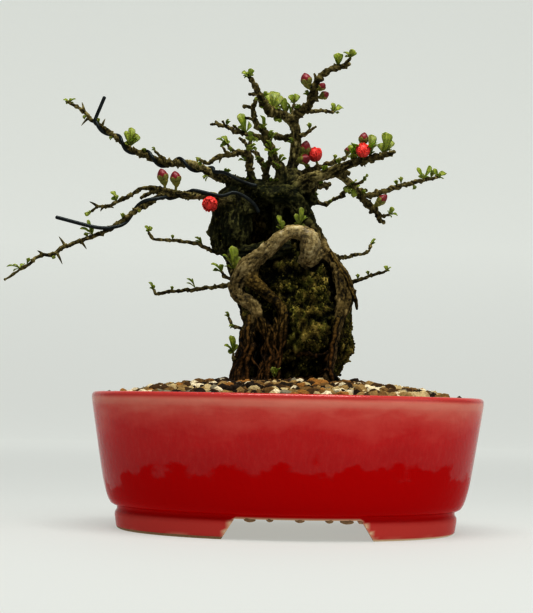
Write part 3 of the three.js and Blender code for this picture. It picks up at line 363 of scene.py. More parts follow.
# %% Clay, damp earth, screen plastic, stamens and wire
def grained(name, size, detail, roughness, low, high, skin=None, **shader):
    """A finish with two tones and, where `skin` gives a depth and strength, a bump from the same noise."""
    made, tree, surface = finish(name, **shader)
    grain = object_noise(tree, size, detail, roughness)
    coat(tree, surface, Base_Color=ramp(tree, grain, low, high))
    if skin:
        coat(tree, surface, Normal=bump(tree, grain, *skin))
    return made, tree, surface, grain


BARE_CLAY, *_ = grained(
    "bare_clay", 1.2, 6, 0.7, (0.3, (0.24, 0.14, 0.07)), (0.7, (0.42, 0.28, 0.15)), (0.15, 0.6), Roughness=0.85)
EARTH, *_ = grained(
    "damp_earth", 1.5, 6, 0.75, (0.3, (0.02, 0.011, 0.006)), (0.7, (0.12, 0.065, 0.032)), (0.7, 0.9),
    Roughness=0.95)
SCREEN_PLASTIC, *_ = grained(
    "screen_plastic", 2, 4, 0.7, (0.4, (0.008, 0.008, 0.008)), (0.8, (0.06, 0.045, 0.03)), (0.1, 0.4),
    Roughness=0.55)
STAMEN, *_ = grained(
    "stamen", 0.6, 4.0, 0.6, (0.3, (0.6, 0.33, 0.05)), (0.7, (0.75, 0.55, 0.15)), Roughness=0.6)
DARK_WIRE, tree, surface, worn = grained(
    "dark_wire", 4, 4, 0.7, (0.35, (0.008, 0.011, 0.011)), (0.8, (0.035, 0.045, 0.045)),
    Metallic=0.6, Roughness=0.38)
coat(tree, surface, Roughness=range_of(tree, worn, 0.3, 0.8, 0.28, 0.5))
print("finishes so far:", len(bpy.data.materials))

# %% [markdown]
# ## Bark, moss and stone
# Old quince bark is dark and rough. The roots on the rock are paler and smoother, with a worn shine, and
# turn reddish low down. One tree does all of these: the mesh says how much of each there is, and its relief
# paints shade into the crevices and lightens the ridges, partly as wear and partly as a painted highlight.
# Sheltered places get painted shade that is almost black.

# %% Bark
# Near-black colours that paint shade into sheltered places, on wood and on moss.
SHADE_BLACK_WOOD, SHADE_BLACK_MOSS = (0.0015, 0.0012, 0.0003), (0.0015, 0.0015, 0.0003)


def painted_shade(tree, colour, tint):
    """A colour with painted shade: almost black where the mesh is sheltered."""
    return mix(tree, range_of(tree, attribute(tree, "shelter"), 0.3, 0.8), colour, tint)


def relief_shaded(tree, crevice, middle, ridge):
    """A colour that follows the relief: painted shade in the crevices and where sheltered, and ridges lighter,
    partly as wear and partly as a painted highlight.
    """
    grit = maths(tree, "ADD", object_noise(tree, 0.9, 5, 0.75), -0.5)
    relief = maths(tree, "MULTIPLY_ADD", grit, 0.9, attribute(tree, "relief"))
    return painted_shade(tree, ramp(tree, relief, (0.34, crevice), (0.58, middle), (0.9, ridge)), SHADE_BLACK_WOOD)


BARK, tree, surface = finish("bark", Roughness=0.7)
colour = relief_shaded(tree, (0.001, 0.0022, 0.0003), (0.012, 0.015, 0.0035), (0.13, 0.135, 0.048))
patches = range_of(tree, object_noise(tree, 6, 4, 0.6), 0.44, 0.6, 0.0, 0.6)
colour = mix(tree, patches, colour, (0.01, 0.018, 0.003))
root = relief_shaded(tree, (0.002, 0.001, 0.0001), (0.06, 0.038, 0.006), (0.22, 0.155, 0.045))
red_root = relief_shaded(tree, (0.001, 0.0003, 0.0001), (0.034, 0.015, 0.002), (0.17, 0.085, 0.022))
low_down = range_of(tree, parted(tree, object_place(tree))["Z"], 0.09, 0.122, 1.0, 0.0)
limb_tints = {
    "root": mix(tree, low_down, root, red_root),
    "pale": relief_shaded(tree, (0.06, 0.042, 0.008), (0.4, 0.31, 0.13), (0.68, 0.62, 0.4)),
    "twig": relief_shaded(tree, (0.014, 0.01, 0.002), (0.125, 0.102, 0.034), (0.4, 0.34, 0.16)),
}
for name, tint in limb_tints.items():
    colour = mix(tree, attribute(tree, name), colour, tint)
pale = attribute(tree, "pale")
grain = bump(tree, object_noise(tree, 1.3, 5, 0.7), 0.4, 0.7)
coat(tree, surface, Base_Color=colour, Specular_IOR_Level=range_of(tree, pale, 0.0, 1.0, 0.1, 0.6),
     Roughness=range_of(tree, pale, 0.0, 1.0, 0.7, 0.34),
     Normal=bump(tree, object_noise(tree, 0.45, 4, 0.7), 0.15, 0.6, grain))
print(BARK.name, len(tree.nodes), "nodes")

# %% [markdown]
# The rock is buff stone with green where moss has a thin hold. The moss itself is small cushions, each with
# a tone of its own, and so is every stone of the gravel, which has one of eight colours.

# %% Rock, moss and gravel
ROCK_FACE, tree, surface = finish("mossy_rock", Roughness=0.92, Specular_IOR_Level=0.12)
# Painted shade: the rock's crevices and sheltered places are almost black. Its raised lumps are lighter, partly
# as a painted highlight.
buff = relief_shaded(tree, (0.001, 0.0008, 0.0001), (0.13, 0.1, 0.02), (0.52, 0.41, 0.13))
green = relief_shaded(tree, (0.001, 0.002, 0.0001), (0.075, 0.078, 0.01), (0.34, 0.32, 0.07))
patches = range_of(tree, object_noise(tree, 8, 4, 0.6), 0.45, 0.58, 0.0, 0.85)
coat(tree, surface, Base_Color=mix(tree, patches, buff, green),
     Normal=bump(tree, object_noise(tree, 1.3, 6, 0.75), 0.7, 0.9))

MOSS, tree, surface = finish("moss", Roughness=1.0, Specular_IOR_Level=0.08)
colour = ramp(
    tree, attribute(tree, "tone"), (0.0, (0.006, 0.008, 0.001)), (0.45, (0.045, 0.046, 0.007)),
    (0.8, (0.14, 0.12, 0.022)), (1.0, (0.3, 0.25, 0.06)),
)
# Painted shade: moss is almost black where it is sheltered.
coat(tree, surface, Base_Color=painted_shade(tree, colour, SHADE_BLACK_MOSS),
     Normal=bump(tree, object_noise(tree, 0.4, 3, 0.7), 0.2, 0.8))

STONE_TONES = [
    (0.0, (0.025, 0.012, 0.003)), (0.2, (0.085, 0.042, 0.01)), (0.36, (0.2, 0.115, 0.034)),
    (0.5, (0.33, 0.22, 0.085)), (0.66, (0.5, 0.4, 0.22)), (0.78, (0.34, 0.17, 0.04)),
    (0.84, (0.7, 0.62, 0.44)), (0.94, (0.25, 0.22, 0.15)),
]
GRAVEL, tree, surface = finish("gravel", Roughness=0.8, Specular_IOR_Level=0.3)
colour = ramp(tree, attribute(tree, "tone"), *STONE_TONES, interpolation="CONSTANT")
speckle = object_noise(tree, 0.8, 5, 0.7)
shade = range_of(tree, speckle, 0.35, 0.6, 0.65, 1.1)
coat(tree, surface, Base_Color=mix(tree, 1.0, colour, shade, "MULTIPLY"), Normal=bump(tree, speckle, 0.35, 0.7))
print("stone colours:", len(STONE_TONES))

# %% [markdown]
# ## Leaves and petals
# Young leaves are yellow green, thin enough for light to glow through, with a paler rib. Each blade has its
# own UV map, across and along, so the veins follow it. Petals are satin: deep crimson when closed and coral
# red when open.

# %% Leaves and petals
def thin_finish(name, roughness, weight, radius):
    """A finish that light glows through, with the place across and along a blade."""
    made, tree, surface = finish(name, Roughness=roughness, Subsurface_Weight=weight, Subsurface_Scale=0.002)
    surface.inputs["Subsurface Radius"].default_value = radius
    return made, tree, surface, parted(tree, node(tree, "ShaderNodeUVMap").outputs["UV"])


def stripes(tree, along, count):
    return maths(tree, "SINE", maths(tree, "MULTIPLY", along, count))


def leaf_finish(name, low, high, tip):
    made, tree, surface, uv = thin_finish(name, 0.42, 0.25, (0.6, 1.0, 0.2))
    colour = mix(tree, range_of(tree, object_noise(tree, 2.2, 3, 0.6), 0.35, 0.7), low, high)
    rib = maths(tree, "ABSOLUTE", maths(tree, "SUBTRACT", uv["X"], 0.5))
    on_rib = range_of(tree, rib, 0.02, 0.09, 0.4, 0.0)
    colour = mix(tree, on_rib, colour, (0.34, 0.39, 0.09))
    colour = mix(tree, range_of(tree, rib, 0.28, 0.5, 0.0, 0.6), colour, (0.085, 0.105, 0.01))
    colour = mix(tree, range_of(tree, uv["Y"], 0.72, 1.0, 0.0, 0.45), colour, tip)
    veins = stripes(tree, maths(tree, "MULTIPLY_ADD", rib, -1.6, uv["Y"]), 42.0)
    coat(tree, surface, Base_Color=colour, Normal=bump(tree, on_rib, 0.12, 0.6, bump(tree, veins, 0.05, 0.5)))
    return made


def petal_finish(name, base, edge, gloss):
    made, tree, surface, uv = thin_finish(name, gloss, 0.2, (1.0, 0.2, 0.15))
    colour = mix(tree, range_of(tree, uv["Y"], 0.25, 1.0), base, edge)
    cloud = range_of(tree, object_noise(tree, 1.3, 3, 0.6), 0.4, 0.75, 0.0, 0.3)
    coat(tree, surface, Base_Color=mix(tree, cloud, colour, edge),
         Normal=bump(tree, stripes(tree, uv["X"], 60.0), 0.03, 0.4))
    return made


YOUNG_LEAF = leaf_finish("young_leaf", (0.14, 0.17, 0.01), (0.3, 0.335, 0.035), (0.24, 0.25, 0.04))
CUP_GREEN = leaf_finish("cup_green", (0.17, 0.17, 0.025), (0.3, 0.27, 0.06), (0.26, 0.1, 0.03))
CRIMSON = petal_finish("crimson_bud", (0.27, 0.02, 0.03), (0.2, 0.006, 0.012), 0.38)
CORAL = petal_finish("coral_bloom", (0.6, 0.026, 0.018), (0.8, 0.08, 0.06), 0.5)
print("finishes in all:", len(bpy.data.materials))

# %% [markdown]
# ## The limbs
# Every limb is a list of stations from where it leaves its parent to its tip: how far right, how far back and
# how high, with its radius. The trunk is a hollow hood made of merging stems, and the roots run from it down
# the rock. These are the same numbers that the construction model is built from, so both fit together.

# %% Stations of the trunk, the roots and the branches, in millimetres
def listed(text):
    """Rows of names and numbers, parted by commas."""
    return [[word if word[0].isalpha() else float(word) for word in row.split()] for row in text.split(",")]


def named(text):
    """The rows of each name, from entries such as `name: 1 2 3, 4 5 6` parted by semicolons."""
    entries = [entry.split(":") for entry in text.split(";")]
    return {name.strip(): listed(rest) for name, rest in entries}


TRUNK = named("""
hood_left: -25 -4 184 6, -30 -6 177 9.5, -31.5 -7 167 11, -32.5 -7 157 11.3, -32 -6 149 8.8;
hood_top: -29 -3 180 7, -17 -1 181 7, -4 0 181 7.2, 4 0 178 6.5;
hood_right: 1 0 182 7, 6 -2 172 5.2, 9.5 -4 162 5.4, 14.5 -7 152 5.8;
hood_front: -24 -9 179 5, -12 -12 179 5, -1 -9.5 178 5.6, 6 -6 170 5;
hood_back: -22 9 178 8.5, -13 15 171 9.5, -7 17 159 10.5, -3 16 145 9;
hood_back_right: 2 6 181 6.5, 1.5 12 171 6.5, 4 13 160 7.5, 6 12 148 7;
hood_foot: -31 -8 147.5 5.5, -24 -12 146 5.2, -17 -14 147.5 4.8, -10 -13 149.5 4.8, -2 -9 150 5;
hood_inner: -8 -6 177 3.8, -7.5 -9 168 2.6, -7 -10 160 3.2, -4 -5 148 5
""")
ROOTS = named("""
loop: 7.6 -21 142.6 4.4, 8.9 -25 146 5.2, 9.8 -26.5 151 5.7, 8.6 -27.5 155 4.9, 4.3 -28 157 4.4,
    -0.9 -27.5 157 4.4, -5.5 -27 154.4 4.3, -9.6 -26 150.2 4.3, -14 -25 146.4 4.4, -19 -24 142.6 4.9,
    -23.2 -23 138.6 5.3, -26.6 -22 133.4 5, -28.6 -21 127.8 4.3, -26.5 -22.5 123 3.9, -21.5 -24 120.4 3.7,
    -18.2 -25 116.8 3.4, -17.4 -26 112.4 3.2, -19.6 -25.5 106.5 2.8, -21.5 -25 97 2.4, -22.5 -25 87 2.4,
    -26 -28 71 2.9;
loop_neck: 14 -7 152 5.5, 12 -14 146 5, 8 -21.5 142.5 5;
middle: -20 -22 138 4, -21 -24 132.5 3.8, -16 -26 127.6 3.4, -10.5 -27.5 123.2 3.1, -6 -28 118.6 2.9,
    -3.7 -28 113 2.7, -4 -27 106 2.3, -4.5 -26 98 1.9, -6 -26 88 1.9, -8 -27 71 2.4;
middle_left: -4 -27 112 2.4, -8 -27 105 2, -9 -26 97 1.8, -11 -26 86 1.9, -13 -27 71 2.2;
left_inner: -18 -25 114 2.4, -13.5 -26 108 1.9, -11.5 -26 99 1.6, -13 -26 90 1.6, -17 -27 71 2;
left_outer: -20 -24 111 2.6, -22.5 -22 105 2.2, -23.5 -20 96 2, -27.5 -21 86 2.1, -30.5 -25 70 2.6;
right: 9.5 -5 158 6.4, 15 -9 152 5, 19.6 -13 145.5 4.2, 23.9 -16 138.5 3.5, 26.3 -19 131 3, 26.7 -21 123 2.6,
    25.3 -23 114 2.2, 24 -24 103 2, 22.3 -24 92 2.1, 18 -26 71 2.8;
right_outer: 16 -8 153 3.2, 22 -11 145.5 2.4, 28 -14 138 2.2, 31.6 -16 130 1.9, 31.8 -18 122 1.7,
    28 -20.5 113 1.5, 24.5 -23 104 1.4;
right_hanging: 30.5 -16 134 1.1, 33.8 -17 126 0.9, 35.4 -17 118 0.7;
front_fine: 22 -24 95 1.1, 15 -25 92.5 0.9, 9 -24.5 94 0.8, 4 -22 93 0.8;
side_left: -31 -1 153 7, -29 3 138 4.6, -25 6 122 3.6, -21.5 5 106 3, -27 4 90 2.8, -30 3 71 3.2;
side_right: 10.5 -3 158 5.2, 20.5 0 146 3.7, 29.5 3 132 2.8, 32 4 116 2.2, 28.5 4 99 2, 22 4 85 2, 19 5 71 2.6;
back_left: -22 10 168 9, -27 15 149 5.6, -27.5 18 134 4.2, -22.5 21 119 3.5, -21 22 104 3, -26 22 89 2.8,
    -30 24 71 3.2;
back_middle: -9 13 156 9, -13 21 141 4.8, -8 25 128 3.9, -12 26 113 3.2, -9 26 97 2.8, -13 29 71 3;
back_right: 0 10 156 8, 8 18 143 4.8, 12 23 130 3.9, 8 25 115 3, 11 25 99 2.6, 9 28 71 2.8
""")
BRANCHES = named("""
high_left: -23 -6 182 4.2, -34 -4 188 2.8, -43 -1 191 2.4, -51 1.5 195.5 2.1, -60 4 197.5 1.9, -70 6.5 198 1.7,
    -82 9 203 1.5, -90 11 206.5 1.3, -97 13.5 212 1.2, -104 16 217.5 1.1, -111 18.5 222.5 1, -116 21 228 0.9,
    -122 23.5 232 0.8, -127.5 26 235 0.6;
low_left: -26 -12 171 3.6, -37 -15.5 174.5 2.6, -46 -16.5 177 2.2, -54 -18 176.5 2, -62 -19.5 177 1.9,
    -68 -20.5 177 1.6, -74 -22 172.5 1.4, -80 -23 169 1.3, -92 -25.5 159.5 1.2, -98 -27 155.5 1.1,
    -111 -29.5 149.5 1, -118.5 -31 146.5 0.95, -124 -32 142.5 0.9, -130 -33.5 141.5 0.8, -137.5 -34.5 136 0.7,
    -148 -36 128.5 0.5;
low_left_side: -64 -21 177.5 1.1, -72 -19.5 180 1.1, -80 -17.5 180 1, -86 -15 176.5 1, -92.5 -13 173.5 0.9,
    -98.5 -10.5 171 0.8, -104 -8.5 171 0.7, -107.5 -6 168.5 0.6;
low_left_stub: -67 -20 177 1.3, -74 -18.5 178 1, -80.5 -17.5 174.5 0.8;
high_left_stub: -69 5 198.5 1, -72 2 201 0.8, -75 1 203.5 0.6;
thin_top_left: -30 -1 147 1.4, -41 -6.5 148 1, -49.5 -9.5 151.5 0.9, -59.5 -12 153 0.8, -67.5 -14.5 153 0.7,
    -73 -17.5 153 0.7, -75.5 -20 156.5 0.6;
thin_low_left: -29 -18 130 1.4, -36.5 -9 129.5 1, -45.5 -4 128.5 0.9, -56 -1 127.5 0.9, -66 2 126.5 0.8,
    -72 5 125.5 0.7, -74.5 8 128 0.6;
leader: -4 0 180 4, -1 0 191 2.9, 1.5 -1 203 2.3, 2 -1 213 2.1, 0.5 -1.5 221 2.1, 2 -2 226 1.8;
apex_right: 1.5 -2 224 1.7, 7.5 -4.5 228.5 1.6, 10 -6.5 233 1.7, 11 -9 238 1.4, 13.5 -11 242.5 1.4,
    18 -13.5 246 1.2, 24.5 -15.5 248 1.1, 29.5 -18 249.5 0.7;
apex_right_tip: 24 -15.5 247.5 1, 28 -16.5 250.5 0.8, 30 -18 252.5 0.6;
apex_right_stub: 12.5 -10 241 0.9, 11 -10 245.5 0.5;
apex_twig_right: 2 -2 225 1.3, 5 0 227 1.2, 10.5 7.5 228.5 1, 17 14.5 230 0.9, 23 22 231 0.7;
apex_left: 1 -2 220.5 2.1, -6.5 -6 223.5 1.8, -12 -10 224 1.7, -16 -14 228 1.4, -19 -18 233 1.2, -22 -22 237 1,
    -24 -26 239.5 0.8;
apex_left_stub: -18.5 -17.5 232 1, -21.5 -19.5 231.5 0.8, -24 -21 231 0.7;
leader_top: 1 -2 223 1.3, -0.5 2 227.5 0.9, 0.5 6 232 0.7;
mid_left: -4 -6 182 3.4, -6 -8.5 193 2.5, -10 -9 198 2.2, -11.5 -9.5 204 2, -14 -10 208 1.8, -15.5 -10 212 1.6,
    -19.5 -10.5 217 1.3, -21.5 -11 223 1.1, -21 -12 230 0.9;
mid_left_stub_high: -21.5 -11.5 225.5 0.9, -24 -15 225.5 0.7, -26.5 -18 225 0.9;
mid_left_stub_low: -20.5 -11 219 0.8, -23.5 -14 219.5 0.7, -25.5 -16 219.5 0.5;
back_left_arm: 1.5 0 212.5 2, -5 5.5 213 1.6, -12 9 215 1.6, -19 12.5 214.5 1.4, -25 16 216.5 1.3,
    -31.5 19.5 218.5 1.1, -36.5 23 221.5 0.9, -42 26.5 223.5 0.8, -46 30 224.5 0.6;
back_left_fork_tip: -39.5 25 222.5 0.7, -42 27.5 224.5 0.6, -43.5 30 226 0.5;
back_left_fork_mid: -35 22 220.5 0.8, -38 21 222.5 0.6, -39.5 20 224 0.5;
back_left_fork_low: -29.5 18.5 218 0.8, -31.5 16 220 0.6, -32.5 14 221 0.5;
front_left: -20 -6 182 3, -23 -11 193 1.8, -23 -14 199 1.6, -26 -17 200.5 1.4, -31 -20 199.5 1.2,
    -36 -23 197.5 1.1, -41 -26 195.5 1, -45 -29 192 0.9, -48.5 -32 194 0.6;
front_left_link: -23 -11 201 0.9, -25.5 -2 208 0.8, -29 6 212.5 0.6;
front_left_post: -23 -13 198 1.3, -23.5 -10 203.5 1, -23 -8 208 0.7;
front_left_fork: -29.5 -19.5 200 1, -33.5 -18.5 202 0.8, -35 -17 204.5 0.6;
front_left_fork_outer: -33.5 -22 198.5 0.9, -36 -25 200 0.7, -37 -27 201.5 0.5;
inner_left: -15 0 184 2.6, -14 1 193 1.6, -16.5 4 198.5 1.3, -19 7 203.5 1.1, -21.5 10 206 0.8;
inner_left_fork: -14 0 192 1.3, -12.5 -3 198 1, -11.5 -8 202.5 0.8;
right_twig: 2 -2 210.5 1.3, 5.5 -7.5 212.5 1, 8.5 -11.5 213.5 0.8, 12 -16 215.5 0.5;
front_right: -1 -5 181 4.4, 8.5 -10 188 3, 17 -13.5 190 2.6, 23.5 -17 192 2.6, 27.5 -21 193.5 2,
    33.5 -25 195.5 1.8, 40 -28.5 196.5 1.6, 46 -32 197.5 1.3, 52.5 -36 199 0.9;
front_right_upper: -1 0 189 2.2, 10.5 2.5 195 1.5, 16.5 5 197.5 1.3, 23 7.5 200.5 1.1, 29.5 10 203 0.8;
front_right_knob: 22 -15.5 192 1.9, 27.5 -13.5 191 1.7, 30.5 -12.5 191 1.4;
low_right: 22 -15.5 192.5 2.2, 28.5 -11 188 2, 33.5 -7.5 184 1.9, 38 -4 179.5 1.8, 42 -0.5 176 1.7,
    46 2.5 172.5 1.5, 49 6 167.5 1;
low_right_tip: 46.5 3 172 1.1, 50 5 170.5 0.9, 53.5 7.5 172 0.7;
low_right_foot: 47.5 4.5 169.5 1, 51 8 167.5 0.8;
far_right: 37.5 -5 179.5 1.6, 44.5 -0.5 181.5 1.4, 52 5.5 185 1.3, 60 11 188.5 1.2, 67.5 16.5 191 1.1,
    75.5 22.5 194 1, 82.5 28 196 0.7;
right_stub_front: 31.5 -9.5 185.5 1, 35 -14.5 185.5 0.8, 37.5 -18 186 0.7;
right_stub_back: 34 -7.5 183 1.1, 37.5 -4.5 183.5 1, 40.5 -1.5 184 0.9;
right_loop: 3 3 183 2.4, 10 5.5 183 1.8, 13.5 5.5 178.5 1.4, 18 4.5 176.5 1.1, 23 3 179 1, 27.5 0 181 1,
    29.5 -6 185 1;
right_shoulder: 0 4 182 3, 9.5 7 187 2, 16 8.5 187 1.7, 21.5 10.5 188.5 1.2;
thin_top_right: 22 -6 147 1.3, 29.5 10 148 1, 37 17 150.5 0.8, 43 21.5 152.5 0.7, 45.5 26 157 0.6;
thin_low_right: 30 2 132 1.2, 38.5 1 135.5 0.9, 45.5 -2 138 0.8, 52 -6 139.5 0.6;
sprout_left: -29 -19 132 1.1, -34 -19 133.5 0.9, -36.5 -20 136 0.7;
sprout_tall: -29 -21 133 1.3, -31 -22 135 1, -30.5 -22 137.5 0.8;
sprout_mid: -22.5 -22 106 1.1, -29.5 -19 107.5 0.8, -32 -18 112 0.6;
sprout_low: -28 -20 89 1.2, -29.5 -21 91 0.8, -29.5 -21 93.5 0.6
""")
LIMBS = {**TRUNK, **ROOTS, **BRANCHES}


def on_limb(name, along):
    """The point at a share of a limb's length, with the limb's direction and radius there."""
    stations = np.array(LIMBS[name], float)
    spans = np.linalg.norm(np.diff(stations[:, :3], axis=0), axis=1)
    reach = np.concatenate([[0], np.cumsum(spans)])
    at = along * reach[-1]
    x, y, z, radius = [np.interp(at, reach, column) for column in stations.T]
    after = min(max(1, int(np.searchsorted(reach, at))), len(spans))
    return np.array([x, y, z]), unit(stations[after, :3] - stations[after - 1, :3]), radius


print("limbs:", len(LIMBS))

# %% [markdown]
# ## What grows on the limbs
# Thorns, leaves, buds and blooms are each given by their limb, the place along it from 0 to 1, and offsets
# from there. A leaf has the offset of its tip and its width. A flower bud has the offset of its cup, that of
# its tip and its radius, and a bloom has the offset of its middle and its radius.

# %% Thorns, leaf tufts, leaf buds, flower buds and blooms
THORNS = listed("""
high_left 0.89 -1.5 1 5.5, high_left 0.85 -4.5 0 -5, high_left 0.77 2 -1 4.5, low_left 0.74 -3.5 -1 5,
low_left 0.83 -3.5 1 2.5, low_left 0.78 3.5 -1 -6.5, low_left 0.68 3 2 -4, low_left_side 0.9 -4.5 -1 2.5,
low_left_side 0.78 3 3 -0.5, low_left_side 0.83 -1.5 -2 -3, far_right 0.3 1 3 -3, front_right 0.72 1 -1 -4,
front_left 0.72 -1 3 -3
""")
TUFTS = named("""
leaves_high_tip: high_left 0.98, -3.5 1 2 1.8, 3.5 -1 2 2.2;
leaves_high_middle: high_left 0.6, -2 -2 9 3, 1 1 11.5 3.2, 4.5 2 8 3.4;
leaves_low_tip: low_left 0.93, -7 -1 1 2, 1 3 3 2;
leaves_low_wire: low_left 0.63, -6.5 -3 3.5 2.4, -3 0 8.5 1.4;
leaves_low_side_tip: low_left_side 1, -3 -1 -2.5 2.6;
leaves_low_side_top: low_left_side 0.66, -3.5 0 5.5 3;
leaves_thin_top_tip: thin_top_left 1, -2 -1 3 2, 1 1 3 1.8;
leaves_thin_low_tip: thin_low_left 1, -2.5 -1 4 2.6;
leaves_sprout_tall: sprout_tall 1, -1 -2.5 12 4.6, -5.5 -4 7 4, 3.5 -1 6.5 3.4;
leaves_sprout_left: sprout_left 1, -5.5 -2 4 3.4;
leaves_sprout_low: sprout_low 1, -1.5 -1 9 3, -4.5 -3 3.5 3.4;
leaves_right_twig: apex_twig_right 1, 5 1.5 3 4, -1 -1 5 2.4;
leaves_leader_top: leader_top 1, -2.5 -1 4.5 3, 1.5 1 5.5 3;
leaves_upper_inner: front_right 0.65, -3 0 9 4, 1 -5 7.5 4.4;
leaves_upper_middle: front_right 0.78, 1 2 13 3.6, 3 -4.5 6 3.4;
leaves_upper_outer: front_right 0.9, 1 -1 12 5, 4 2 8.5 4.2;
leaves_far_tip: far_right 1, 4.5 1 3 3.6, -2.5 -1 5 2;
leaves_far_pair: far_right 0.8, -3.5 -1 7 1.8, 4 1 8.5 2.2;
leaves_right_stub: right_stub_front 1, 2.5 -1.5 2.5 3.4;
leaves_elbow: low_right 0.33, -3 -4 -4.5 4, 2 -5 1.5 3.4, 1 -3.5 -7 3;
leaves_low_right: low_right_tip 1, 2 -1 4 2.2, 5 1 -0.5 2.6;
leaves_thin_right_top: thin_top_right 1, 2.5 0 3.5 2.4;
leaves_thin_right_low: thin_low_right 1, 2 -1 2 1.6, -1 1 3 1.8;
leaves_apex_left_tip: apex_left 1, -4 -1 1.5 3, 1 -1 4 2.6;
leaves_crown_back: apex_left 0.36, -3.5 2 11 3.6, 1 4 12 4.6, 4.5 2 9.5 3.4;
leaves_crown_left: apex_left 0.5, -6.5 -3.5 2.5 4.2;
leaves_crown_middle: apex_left 0.16, -2 -3.5 9.5 3.4;
leaves_under_fork: apex_left 0.2, -4 -3 -4 2.8;
leaves_inner_left: back_left_arm 0.56, -3.5 -1 11 3.8;
leaves_inner_middle: mid_left 0.66, -1 -5 7.5 3.4;
leaves_front_left: front_left_fork 1, -6 -1 2.5 3, -3 1 4.5 3.4;
leaves_post: front_left_post 1, -0.5 -1 5.5 2.8;
leaves_inner_low: mid_left 0.38, -4.5 -6 2 3.4, 3.5 -6 3 3.2;
leaves_front_base: front_left 0.3, -7 -3 6 4.2;
leaves_inner_base: mid_left 0.2, -5 -6 4 3.4;
leaves_apex_tip: apex_right_tip 1, 0.5 -1 4.5 2.6, -4 0.5 3 2.8;
leaves_foot: middle 0.87, -2 -4 5.5 2.6, 2.5 -4.5 5 2.6;
leaves_hollow_left: loop 0.22, -3.5 -2 10.5 2.4, -0.5 -3 7.5 2;
leaves_hollow_right: loop 0.155, -2.2 -2 9.5 2.2, 0.8 -2.5 13 2.4, 3.4 -2 8.5 2.2
""")
LEAF_BUDS = listed("""
high_left 0.86 -2.5 -1.5 -2 1.8, high_left 0.79 -0.5 -1 3.5 2, high_left 0.69 -2.5 -1.5 -1.5 1.8,
high_left 0.27 0.5 1 5 2.2, high_left 0.19 -4 -2 -3.5 2, low_left 0.79 -0.5 -1 -3 1.6, low_left 0.65 -2 -2 2 2,
low_left 0.43 1 -2.5 -2 1.8, sprout_mid 0.5 -3.5 -2 0 2, sprout_mid 0.95 -2.5 -1 3.5 2.2,
far_right 0.65 1.5 -1 -3.5 2, thin_low_right 0.55 -1 -1 3 2, thin_low_right 0.3 -0.5 -1 3.5 2,
apex_right 0.85 -0.5 -2 5 2.6, apex_right 0.3 -4 -1 3.5 2.8, front_right_upper 0.8 0.5 0 4 2,
right_loop 0.55 2 -2.5 0.5 1.8, front_left 0.97 -1.5 0.5 -2.5 1.8, back_left_arm 0.7 0.5 -1 3 1.8,
inner_left 0.9 -1 1 3 2, high_left_stub 0.9 -2.5 1 2.5 1.8, thin_top_left 0.38 -4 -2 4.5 2.2,
thin_low_left 0.5 -5 -2 5.5 1.6, right_twig 0.72 -1 -1.5 4 2.6, far_right 0.51 -0.5 0 5 1.8
""")
# Young leaves among the twigs of the crown, too small for the construction model.
FRESH = listed("""
mid_left 0.28 3.5 -4 4.5 3.2, mid_left 0.45 -3 -4.5 4 3, mid_left 0.55 3.5 -3 5 3,
front_left_post 0.4 3.5 -3 3.5 3, inner_left 0.4 3 -5 4 3.2, inner_left 0.62 -3.5 -3 2 2.6,
inner_left_fork 0.6 3 -3 4 3, inner_left_fork 0.2 -3 -4 2.5 2.6, back_left_arm 0.35 -1 -3 4.5 2.8,
back_left_arm 0.45 1 -4 -4 2.4, back_left_arm 0.8 1.5 -2 4 2.2, front_left 0.42 2.5 -3 4 2.6,
front_left 0.6 -1 -2 3.5 2.2, apex_left 0.25 -3 -4 2 2.6, apex_left 0.62 3 -1 3.5 2.4,
apex_right 0.06 -1 -4 3.5 2.6, leader 0.25 4 -4 3 2.6, leader 0.6 -4 -3 3.5 2.8, front_right 0.35 1 -5 3.5 2.4,
front_right 0.5 -1 -3 4.5 2.4, front_right_upper 0.3 0 -3 4 2.4, right_shoulder 0.7 2 -4 2.5 2.6,
right_loop 0.3 1 -4 2.5 2.4, low_right 0.5 3 -4 1 2.4, far_right 0.45 -1 -2 3.5 2.2, far_right 0.9 2 -2 4.5 2.8,
high_left 0.52 -1 -2 3 2, high_left 0.12 2 -4 4 2.6, low_left 0.9 1 -1 3.5 2, low_left 0.5 0 -2 3.5 2,
thin_top_left 0.7 0 -1 3 1.8, thin_low_left 0.75 0 -1 3 1.8, hood_top 0.2 -1 -9 6 3, hood_top 0.55 1 -10 6 2.8
""")
SINGLE = listed("""
apex_right 0.84 -0.5 -2 7.5 6.5, apex_right_tip 0.97 1.5 -1 4 5, apex_left 0.97 -3 1.5 1.5 5.5,
apex_left 0.42 -6.5 -4 4 6.5, apex_left 0.1 -1.5 -4 8 5, front_left_post 0.9 1 -2 4 4,
low_right 0.35 2.5 -4 -1 5, front_right 0.62 2 -4 5 5.5, mid_left 0.5 4 -4 6 5,
right_stub_front 0.95 3 -2 3 5.5, front_right 0.69 -4.5 -9 7.5 6, front_right 0.76 3.5 -9.5 7 5.5
""")
BUDS = named("""
bud_left_outer: low_left_side 0.07 -0.5 -1 4.5 -2.5 -2 11.5 2.4;
bud_left_inner: low_left 0.27 0.5 -1 5.5 -0.5 -2 12 2.4;
bud_apex_left: apex_right 0.37 -3 -2 3.5 -5 -3 10 2.5;
bud_apex_middle: apex_right 0.4 3.5 -4 0 5.5 -6.5 2.5 1.6;
bud_apex_right: apex_right 0.3 5 -1 0.5 9 -2 2.5 1.8;
bud_right_upper: leader 0.5 5 -3.5 -0.5 6 -5.5 6.5 2.4;
bud_right_lower: leader 0.4 3.5 -5 0.5 9 -8 1.5 2.4;
bud_upper_tall: front_right 0.73 -1 0.5 8.5 0 0 14.5 2.1;
bud_upper_small: front_right_upper 1 1 -1 2.5 1.5 -2 6 1.6;
bud_low_right: low_right 0.74 3.5 -1 1.5 8.5 -2 6.5 2
""")
